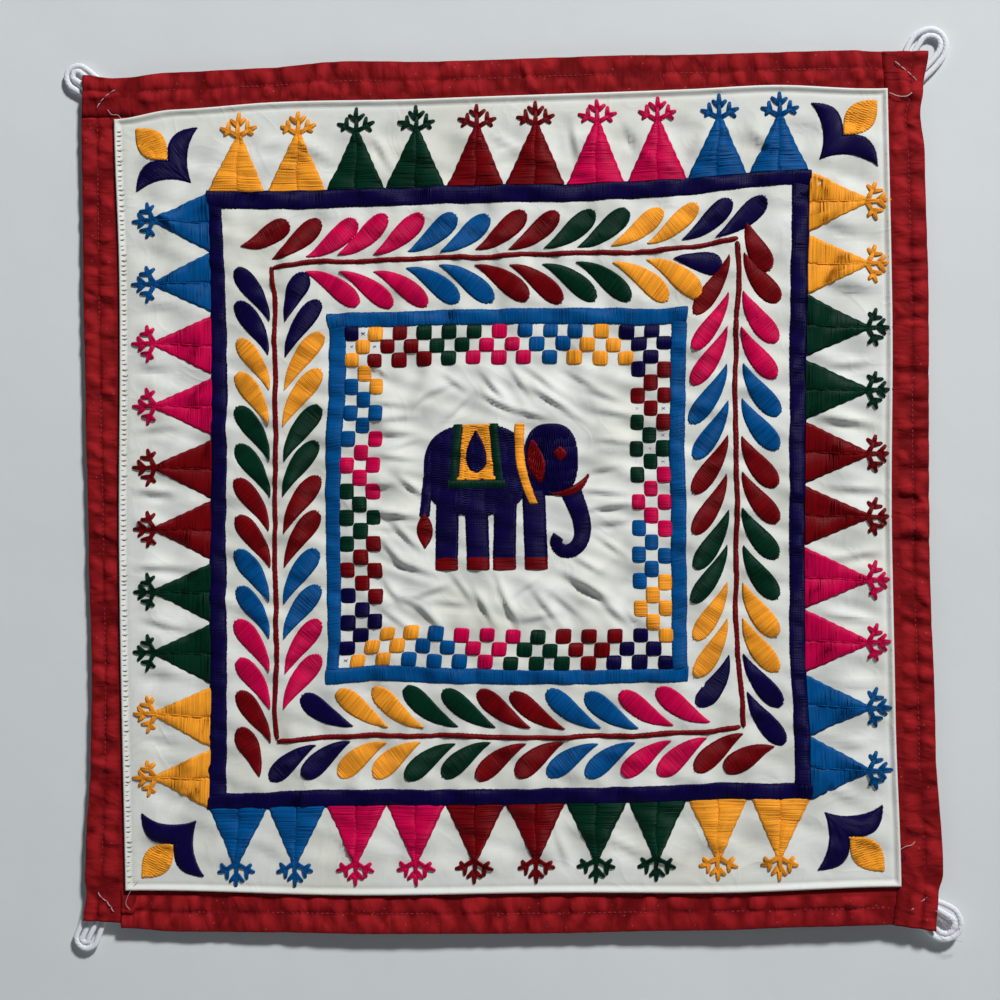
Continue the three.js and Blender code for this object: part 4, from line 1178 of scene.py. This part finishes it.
class HANGING_OT_borders(bpy.types.Operator):
    """Make the four red strips, each folded double and sewn through"""

    bl_idname = "hanging.borders"
    bl_label = "Border strips"

    def execute(self, context):
        cotton = red_cotton()
        for name, strip in STRIPS.items():
            grid, depth, lay = strip_surface(strip, 400)
            normal = grid_normals(grid) * 0.33
            # proud is the painted light of the strips: high on the crests, which are painted lighter, low in the folds,
            # which are painted darker
            proud = np.clip(0.55 - 0.5 * depth, 0, 1)
            title = name.replace("border", "strip")
            piece = sheet_mesh(title, grid + normal, grid - normal, [cotton], proud, lay)
            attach(piece, "root")
            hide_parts(name)
        return {"FINISHED"}


def loop_line(loop):
    """Centre line of a loop, as distances along its direction and to its left: in along one
    leg with an eased spread, round half an ellipse, and back along the other leg."""
    straight = loop["tip"] - loop["round"]
    f = np.linspace(0, 1, 26)[:-1]
    eased = f * f * (3 - 2 * f)
    leg = np.stack([-LEG_LENGTH + f * (straight + LEG_LENGTH),
                    LEG_SPREAD + eased * (loop["spread"] - LEG_SPREAD)], 1)
    turn = np.linspace(0, np.pi, 61)
    bend = np.stack([straight + loop["round"] * np.sin(turn), loop["spread"] * np.cos(turn)], 1)
    return np.vstack([leg, bend, (leg * (1, -1))[::-1]])


def loop_strands(loop):
    """The two strands of a loop, side by side on its centre line."""
    line = loop_line(loop)
    ahead = np.gradient(line, axis=0)
    ahead /= np.linalg.norm(ahead, axis=1, keepdims=True)
    normal = np.stack([-ahead[:, 1], ahead[:, 0]], 1)
    turn = math.radians(loop["turn"])
    axes = np.array([[math.cos(turn), math.sin(turn)], [-math.sin(turn), math.cos(turn)]])
    behind = AIR + STRIP_THICK + 1.5 * AIR + CORD_DEPTH / 2
    strands = []
    apart = 0.9 * np.exp(-(((np.arange(len(line)) - 24) / 9) ** 2))
    for side in (-1, 1):
        waver = side * apart[:, None] + 0.2 * np.sin(np.arange(len(line)) / 7 + 2 * side)[:, None]
        plan = (line + normal * (side * 0.49 * CORD_WIDTH + waver)) @ axes + loop["at"]
        y = drape(plan[:, 0], plan[:, 1]) + behind
        strands.append(np.stack([plan[:, 0], y, plan[:, 1]], 1))
    return np.array(strands)


class HANGING_OT_loops(bpy.types.Operator):
    """Make the doubled cord loop at each corner"""

    bl_idname = "hanging.loops"
    bl_label = "Corner loops"

    def execute(self, context):
        cord = soft_cord()
        for name, loop in LOOPS.items():
            twist = 2 * np.pi / (sizes().ply_length / MM)
            piece = cord_mesh(name.replace("loop", "cord"), loop_strands(loop), 0.47 * CORD_WIDTH,
                              0.46 * CORD_DEPTH, 14, [cord], twist)
            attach(piece, "root")
            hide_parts(name)
        return {"FINISHED"}


def frame_bars(letter, inner, outer, rise):
    """Batches for a satin frame: the top and bottom bars run over the corners, and the side
    bars stand between them. The stitches lean slowly to and fro along a bar."""
    batches = []
    for turns in range(4):
        end = outer if turns % 2 == 0 else inner
        a = np.linspace(-end, end, 200)
        lean = 0.35 * np.sin(a / 13 + turns) + 0.25 * np.sin(a / 5.1)
        edge = 0.18 * np.sin(a / 7.3 + turns) + 0.12 * np.sin(a / 2.9)
        low = np.stack(uneven(*on_side(turns, a - lean, np.full_like(a, inner) + edge)), 1)
        top = np.stack(uneven(*on_side(turns, a + lean, np.full_like(a, outer) + edge)), 1)
        high = rise * (1 + 0.15 * np.sin(np.linspace(0, 1, 200) * 90 + turns))
        batch = satin(letter, low, top, rise)
        waves = np.interp(np.linspace(0, 1, len(batch[1])), np.linspace(0, 1, 200), high)
        batches.append((*batch[:4], waves, batch[5]))
    return batches


class HANGING_OT_frames(bpy.types.Operator):
    """Make the navy and blue satin frames and the dark red stem line"""

    bl_idname = "hanging.frames"
    bl_label = "Frames and stem"

    def execute(self, context):
        rise = sizes().satin_rise / MM
        round_top = (0, 0.1, 0.32, 0.68, 0.9, 1)
        embroider("navy_frame", frame_bars("n", NAVY_IN, NAVY_OUT, rise * 1.1), round_top)
        embroider("blue_frame", frame_bars("b", BLUE_IN, BLUE_OUT, rise), round_top)
        batches = []
        for turns in range(4):
            a = np.linspace(-STEM, STEM, 260)
            waver = 0.5 * np.sin(a / 17 + turns) + 0.25 * np.sin(a / 6.1)
            path = np.stack(uneven(*on_side(turns, a, STEM + waver)), 1)
            batch = running("r", path, 2.4, 2.4, 2.9, 1.35, 1.3)
            ahead = batch[2] - batch[1]
            aside = np.stack([-ahead[:, 1], ahead[:, 0]], 1) / np.linalg.norm(ahead, axis=1)[:, None]
            batches.append((batch[0], batch[1] - 0.55 * aside, batch[2] + 0.55 * aside, *batch[3:]))
        embroider("stem_line", batches)
        return {"FINISHED"}


def leaf(letter, turns, a, o, reach, out):
    """A teardrop leaf: its axis is a quadratic curve from the tip, at first along the stem
    and then outwards, and its half width is u^0.85 times the root of 1 - u^5."""
    u = np.linspace(0, 1, 60)[:, None]
    tip = np.array([a, o], float)
    bend = tip + (0.42 * reach, 0.16 * out)
    end = tip + (reach, out)
    axis = (1 - u) ** 2 * tip + 2 * u * (1 - u) * bend + u ** 2 * end
    ahead = np.gradient(axis, axis=0)
    ahead /= np.linalg.norm(ahead, axis=1, keepdims=True)
    aside = np.stack([-ahead[:, 1], ahead[:, 0]], 1)
    half = (7.9 + 0.8 * chance.random()) * u ** 0.85 * np.sqrt(np.maximum(0, 1 - u ** 5))
    rails = []
    for side in (-1, 1):
        rail = axis + side * half * aside
        rails.append(np.stack(uneven(*on_side(turns, rail[:, 0], rail[:, 1])), 1))
    return satin(letter, *rails, rise=sizes().satin_rise / MM, jitter=0.12)


class HANGING_OT_leaves(bpy.types.Operator):
    """Make the two rows of leaves along each side of the stem"""

    bl_idname = "hanging.leaves"
    bl_label = "Leaves"

    def execute(self, context):
        outer, inner = [], []
        for turns, run in enumerate(LEAF_RUNS):
            for k, letter in enumerate(run["outer"]):
                stray = (chance.random(4) - 0.5) * (1.2, 1.2, 1.6, 1.6)
                first = k == 0
                a = run["first"] if first else run["second"] + run["pitch"] * (k - 1)
                outer.append(leaf(letter, turns, a + stray[0], (run["foot"] if first else 130.5) + stray[1],
                                  26 + stray[2], (12 if first else 18.6) + stray[3]))
            for k, letter in enumerate(run["inner"]):
                stray = (chance.random(4) - 0.5) * (1.2, 1.2, 1.6, 1.6)
                last = k == len(run["inner"]) - 1
                out = run["last"] if last else -20
                inner.append(leaf(letter, turns, run["start"] + run["pitch"] * k + stray[0] - 4 * (last and turns == 0),
                                  122 + stray[1], (24.5 if last and turns != 2 else 27.5 - (turns == 1)) + stray[2],
                                  out + stray[3]))
        embroider("outer_leaves", outer)
        embroider("inner_leaves", inner)
        return {"FINISHED"}


def side_edge(turns, places, bowed=True):
    """Cloth places on the outer edge of the navy frame, at the given places along a side."""
    a = np.linspace(-NAVY_OUT - 8, NAVY_OUT + 8, 120)
    x, z = uneven(*on_side(turns, a, np.full_like(a, NAVY_OUT)), bowed)
    run, out = on_side(-turns % 4, x, z)
    return np.interp(places, run, run), np.interp(places, run, out)


def triangle_feet(turns, k):
    """The two ends of a triangle's base and its tip, as places along the side."""
    middle = (k - (len(TRIANGLE_RUN) - 1) / 2) * TRIANGLE_PITCH
    places = middle + np.array([-TRIANGLE_HALF, TRIANGLE_HALF, TRIANGLE_LEAN])
    places = places + (chance.random(3) - 0.5) * TRIANGLE_STRAY
    x, z = uneven(*on_side(turns, places, np.full(3, NAVY_OUT)), False)
    return on_side(-turns % 4, x, z)[0]


def triangle_tip(turns, feet):
    """A triangle's tip, at its height above the straight line of the frame's side."""
    run, out = side_edge(turns, np.array(feet[2:], float), bowed=False)
    return np.array([run[0], out[0] + TRIANGLE_HEIGHT])


def triangle(letter, turns, feet, rise):
    """A triangle on the navy frame: rows parallel to its base, in two halves that meet
    unevenly at the centre line. The triangles of the upright sides carry a thin ridge."""
    pitch = sizes().stitch_pitch / MM
    run, out = side_edge(turns, np.array(feet, float))
    tip = triangle_tip(turns, feet)
    high = tip[1] - out[:2].mean()
    rows = np.arange(0.3, high, pitch)
    up = (rows / high)[:, None]
    middle = np.array([run[:2].mean(), out[:2].mean()]) * (1 - up) + tip * up
    meet = 0.6 * (chance.random(len(rows)) - 0.5) + 0.45 * np.sin(rows / 4 + feet[0])
    waver = 0.35 + 0.15 * np.sin(rows * 1.3 + feet[0])
    batches = []
    for side, foot in ((-1, 0), (1, 1)):
        edge = np.array([run[foot], out[foot]]) * (1 - up) + (tip + (side * 1.3, 0)) * up
        edge[:, 0] += side * waver
        edge[:, 1] -= 0.3 * np.sin(rows / 3.1 + feet[0]) * (1 - up[:, 0])
        centre = middle + np.stack([meet - side * 0.45, 0.3 * np.sin(rows / 2.7)], 1)
        uneven_rows = 0.1 if turns % 2 else 0.3
        high = rise * (0.9 + uneven_rows * chance.random(len(rows)))
        ends = [np.stack(on_side(turns, *rail.T), 1) for rail in (centre, edge)]
        batches.append((letter, *ends, 2.5 * pitch, high, 0.24 if turns % 2 else 0.34))
    if turns % 2:
        ridge = middle[::-1] + np.stack([0.3 * np.sin(rows / 5), 0 * rows], 1)
        path = np.stack(on_side(turns, *ridge.T), 1)
        batches.append(running(letter, path, 6.0, 1.1, 0.8, rise + 0.35, 0.5))
    return batches


def sprig(letter, turns, feet):
    """A sprig on a triangle's tip: each arm and prong is three stitches that draw together
    towards its end."""
    ends = np.array(SPRIG, float) + (chance.random((len(SPRIG), 2, 2)) - 0.5) * 0.9
    ahead = ends[:, 1] - ends[:, 0]
    aside = np.stack([-ahead[:, 1], ahead[:, 0]], 1) / np.linalg.norm(ahead, axis=1)[:, None]
    fan = [ends + aside[:, None] * np.array([[0.95 * k], [0.3 * k]]) for k in (-1, 0, 1)]
    ends = np.vstack(fan) + triangle_tip(turns, feet)
    start, end = (np.stack(on_side(turns, *ends[:, k].T), 1) for k in (0, 1))
    return letter, start, end, 1.25, 1.3, 0.9


class HANGING_OT_triangles(bpy.types.Operator):
    """Make the ten triangles on each side and the sprig on each tip"""

    bl_idname = "hanging.triangles"
    bl_label = "Triangles and sprigs"

    def execute(self, context):
        triangles, sprigs = [], []
        for turns in range(4):
            for k, letter in enumerate(TRIANGLE_RUN):
                feet = triangle_feet(turns, k)
                triangles += triangle(letter, turns, feet, sizes().satin_rise / MM)
                sprigs.append(sprig(letter, turns, feet))
        embroider("triangles", triangles)
        embroider("sprigs", sprigs)
        return {"FINISHED"}


class HANGING_OT_flowers(bpy.types.Operator):
    """Make the flower in each corner of the panel"""

    bl_idname = "hanging.flowers"
    bl_label = "Corner flowers"

    def execute(self, context):
        rise = sizes().satin_rise / MM
        hollow, crest = bow(*PETAL_HOLLOW), bow(*PETAL_CREST)
        batches = []
        for right, up in ((-1, 1), (1, 1), (1, -1), (-1, -1)):
            way = np.array([right, up])
            x, z = uneven(*(way[:, None] * np.full((2, 1), FLOWER_OUT)))
            x, z = x[0], z[0]
            for swap in (False, True):
                rails = [(rail[:, ::-1] if swap else rail) * way + (x, z) for rail in (hollow, crest)]
                batches.append(satin("n", *rails, rise=rise * 1.05))
            batches.append(filled("y", almond(*BUD) * way + (x, z), -20 * right * up, rise, longest=13))
        embroider("corner_flowers", batches)
        return {"FINISHED"}


def check_colour(row, column):
    """Colour of a raised square of the check band, or None on bare cloth. Raised squares
    alternate as on a chessboard. Each side's are in triangular groups of six, four squares
    apart, broad at the outer and at the inner edge by turns."""
    last = CHECK_COUNT - 1
    if (row, column) in ODD_CHECKS:
        return ODD_CHECKS[(row, column)]
    if (row + column) % 2:
        return None
    places = ((0, column, row), (1, row, last - column), (3, last - row, column), (2, last - column, last - row))
    for turns, run, deep in places:
        if deep >= CHECK_DEEP:
            continue
        first, broad_outside, letters = CHECK_RUNS[turns]
        for k, letter in enumerate(letters):
            outside = broad_outside == (k % 2 == 0)
            if abs(run - first - 4 * k) + (deep if outside else CHECK_DEEP - 1 - deep) <= 2:
                return letter
    return None


class HANGING_OT_checks(bpy.types.Operator):
    """Make the raised squares of the check band and the pen marks between them"""

    bl_idname = "hanging.checks"
    bl_label = "Check band"

    def execute(self, context):
        pitch = sizes().stitch_pitch / MM
        rows = np.linspace(-3.2, 3.2, round(6.4 / pitch))
        square = 3.5 * (1 - 0.1 * np.abs(rows / 3.2) ** 6)
        batches, marks = [], []
        for row in range(CHECK_COUNT):
            for column in range(CHECK_COUNT):
                at = np.array([(column + 0.5) * CHECK_PITCH - BLUE_IN, BLUE_IN - (row + 0.5) * CHECK_PITCH])
                if (row, column) in INKED:
                    marks.append(at)
                letter = check_colour(row, column)
                if letter is None:
                    continue
                at = at + (chance.random(2) - 0.5) * 0.6
                size = 1.02 + 0.1 * chance.random()
                sideways = min(row, CHECK_COUNT - 1 - row) < CHECK_DEEP
                low = np.stack([-square, rows], 1)
                top = np.stack([square, rows], 1)
                if sideways:
                    low, top = low[:, ::-1], top[:, ::-1]
                start = np.stack(uneven(*(low * size + at).T), 1)
                end = np.stack(uneven(*(top * size + at).T), 1)
                high = 1.25 * (1 - 0.4 * np.abs(rows / 3.2) ** 4)
                batches.append((letter, start, end, 2.5 * pitch, high, 0.45))
        embroider("check_squares", batches)
        at = np.array(marks)
        strokes = [(at + (-1.1, -0.9), at + (1.0, 1.1)), (at + (-1.0, 0.9), at + (1.1, -0.8)),
                   (at + (-1.3, 0.2), at + (0.9, 0.3))]
        embroider("ink_marks", [("i", np.stack(uneven(*a.T), 1), np.stack(uneven(*b.T), 1), 0.45, 0.06, 0.1)
                                for a, b in strokes])
        return {"FINISHED"}


class HANGING_OT_elephant(bpy.types.Operator):
    """Make the elephant with its saddle cloth in the middle"""

    bl_idname = "hanging.elephant"
    bl_label = "Elephant"

    def execute(self, context):
        cloth = np.vstack([saddle_edge(-1, SADDLE_EDGE, SADDLE_TOP, SADDLE_FOOT + SADDLE_EDGE),
                           saddle_edge(1, SADDLE_EDGE, SADDLE_FOOT + SADDLE_EDGE, SADDLE_TOP)])
        fills = (
            ("n", 0, 0.8, oval(*BODY)),
            ("n", 90, 0.85, oval(*HEAD)),
            ("y", 0, 1.3, cloth),
            ("n", 0, 1.9, teardrop(*DROP)),
            ("r", 75, 1.3, almond(*EAR)),
            ("r", 80, 1.3, almond(*EYE)),
            ("r", 80, 1.35, almond(*TUSK)),
            ("r", 10, 1.0, almond(*TAIL_TUFT)),
        )
        batches = [filled(letter, outline, angle, rise, 12 if letter == "n" else 9)
                   for letter, angle, rise, outline in fills]
        batches += saddle_bars()
        batches.append(satin("n", *upright(*TAIL, TAIL_HALF), 0.85))
        for top, foot in LEGS:
            batches.append(satin("n", *upright((top, LEG_TOP), (foot, ANKLE), LEG_HALF), 0.95))
            batches.append(satin("r", *upright((foot, ANKLE - 0.3), (foot, SOLE), LEG_HALF), 1.05))
        band = bow(*NECK_BAND)
        batches.append(satin("y", band, band + (NECK_BAND_WIDTH, 0), 1.45))
        batches.append(satin("n", *trunk_rails(), 1.0))
        embroider("elephant", batches)
        return {"FINISHED"}


def strip_seams():
    """Machine stitches in the sewn valley of each strip, as tubes that follow it."""
    pitch = sizes().seam_pitch / MM
    paths = []
    for strip in STRIPS.values():
        length = strip_edges(strip, np.array([0.0, 1.0]))[2]
        at = np.arange(4, length - 4, pitch)[:, None] + np.linspace(0, 0.72 * pitch, 5)
        f = at / length
        outer, inner, _ = strip_edges(strip, f.ravel())
        width = np.linalg.norm(inner - outer, axis=1)
        valley = VALLEY_AT * width
        depth = strip_depth(strip, valley, width, at.ravel())
        plan = outer + (inner - outer) * (valley / width)[:, None]
        y = drape(plan[:, 0], plan[:, 1]) + AIR + depth + 1.2 * creases(*plan.T, STRIP_FOLDS, 0)
        sunk = 0.2 + 0.25 * np.sin(at.ravel() / 9.1) + 0.2 * np.sin(at.ravel() / 23)
        arch = np.tile((0.3, -0.12, -0.18, -0.12, 0.3), len(at)) + np.maximum(sunk, 0)
        paths.append(np.stack([plan[:, 0], y + arch, plan[:, 1]], 1).reshape(len(at), 5, 3))
    return np.concatenate(paths)


def corner_stitches():
    """The hand stitches on the strips' corners, as short tubes proud of the red cloth."""
    paths = []
    for chain in HAND_STITCHES:
        points = np.array(chain, float)
        for start, end in zip(points[:-1], points[1:]):
            u = np.array([0.06, 0.2, 0.5, 0.8, 0.94])[:, None]
            plan = start + (end - start) * u
            y = drape(plan[:, 0], plan[:, 1]) + AIR - np.array([0.1, 0.95, 1.15, 0.95, 0.1])
            paths.append(np.stack([plan[:, 0], y, plan[:, 1]], 1))
    return np.array(paths)


def loose_ends():
    """The loose thread ends, each along a smooth curve above the face."""
    paths = []
    for _, points in LOOSE_ENDS:
        curve = smooth(points, 24)
        y = drape(curve[:, 0], curve[:, 1]) - curve[:, 2] - 0.4
        paths.append(np.stack([curve[:, 0], y, curve[:, 1]], 1))
    return np.array(paths)


class HANGING_OT_seams(bpy.types.Operator):
    """Make the machine and hand stitches and the loose thread ends"""

    bl_idname = "hanging.seams"
    bl_label = "Seams"

    def execute(self, context):
        pitch = sizes().seam_pitch / MM
        hem = []
        for turns in (1, 3):
            a = np.arange(-PANEL_HALF + 5, PANEL_HALF - 5, pitch)
            a = a + chance.random(len(a)) - 0.5
            reach = PANEL_HALF - 0.2 - 0.4 * chance.random(len(a))
            start = np.stack(uneven(*on_side(turns, a, reach)), 1)
            long = (2.4 + 1.4 * chance.random(len(a))) * (0.4 if turns == 1 else 1)
            end = np.stack(uneven(*on_side(turns, a + 0.4, reach - long)), 1)
            hem.append(("k", start, end, 0.5, 1.35, 0.6))
        embroider("hem_stitches", hem)
        pieces = [
            cord_mesh("strip_stitches", strip_seams(), 0.3, 0.22, 6, [thread("f")]),
            cord_mesh("loop_stitches", corner_stitches(), 0.24, 0.2, 6, [thread("w")]),
            cord_mesh("loose_threads", loose_ends(), 0.15, 0.15, 6, [thread(letter) for letter in "wkn"],
                      slots=np.array(["wkn".index(row[0]) for row in LOOSE_ENDS])),
        ]
        for piece in pieces:
            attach(piece, "root")
        return {"FINISHED"}


OPERATORS = (
    HANGING_OT_stage, HANGING_OT_panel, HANGING_OT_borders, HANGING_OT_loops, HANGING_OT_frames,
    HANGING_OT_leaves, HANGING_OT_triangles, HANGING_OT_flowers, HANGING_OT_checks,
    HANGING_OT_elephant, HANGING_OT_seams,
)


class VIEW3D_PT_hanging(bpy.types.Panel):
    """Sizes, colours and pieces of the hanging"""

    bl_label = "Wall Hanging"
    bl_idname = "VIEW3D_PT_hanging"
    bl_space_type = "VIEW_3D"
    bl_region_type = "UI"
    bl_category = "Hanging"

    def draw(self, context):
        for group in (context.scene.hanging_sizes, context.scene.hanging_colours):
            box = self.layout.box()
            for name in group.bl_rna.properties.keys():
                if name not in ("rna_type", "name"):
                    box.prop(group, name)
        for operator in OPERATORS:
            self.layout.operator(operator.bl_idname)


CLASSES = (HangingSizes, HangingColours, *OPERATORS, VIEW3D_PT_hanging)


def register():
    for item in CLASSES:
        bpy.utils.register_class(item)
    bpy.types.Scene.hanging_sizes = bpy.props.PointerProperty(type=HangingSizes)
    bpy.types.Scene.hanging_colours = bpy.props.PointerProperty(type=HangingColours)


def unregister():
    del bpy.types.Scene.hanging_colours
    del bpy.types.Scene.hanging_sizes
    for item in reversed(CLASSES):
        bpy.utils.unregister_class(item)


def main():
    register()
    bpy.ops.hanging.stage()
    bpy.ops.hanging.panel()
    bpy.ops.hanging.borders()
    bpy.ops.hanging.loops()
    bpy.ops.hanging.frames()
    bpy.ops.hanging.leaves()
    bpy.ops.hanging.triangles()
    bpy.ops.hanging.flowers()
    bpy.ops.hanging.checks()
    bpy.ops.hanging.elephant()
    bpy.ops.hanging.seams()


if __name__ == "__main__":
    main()
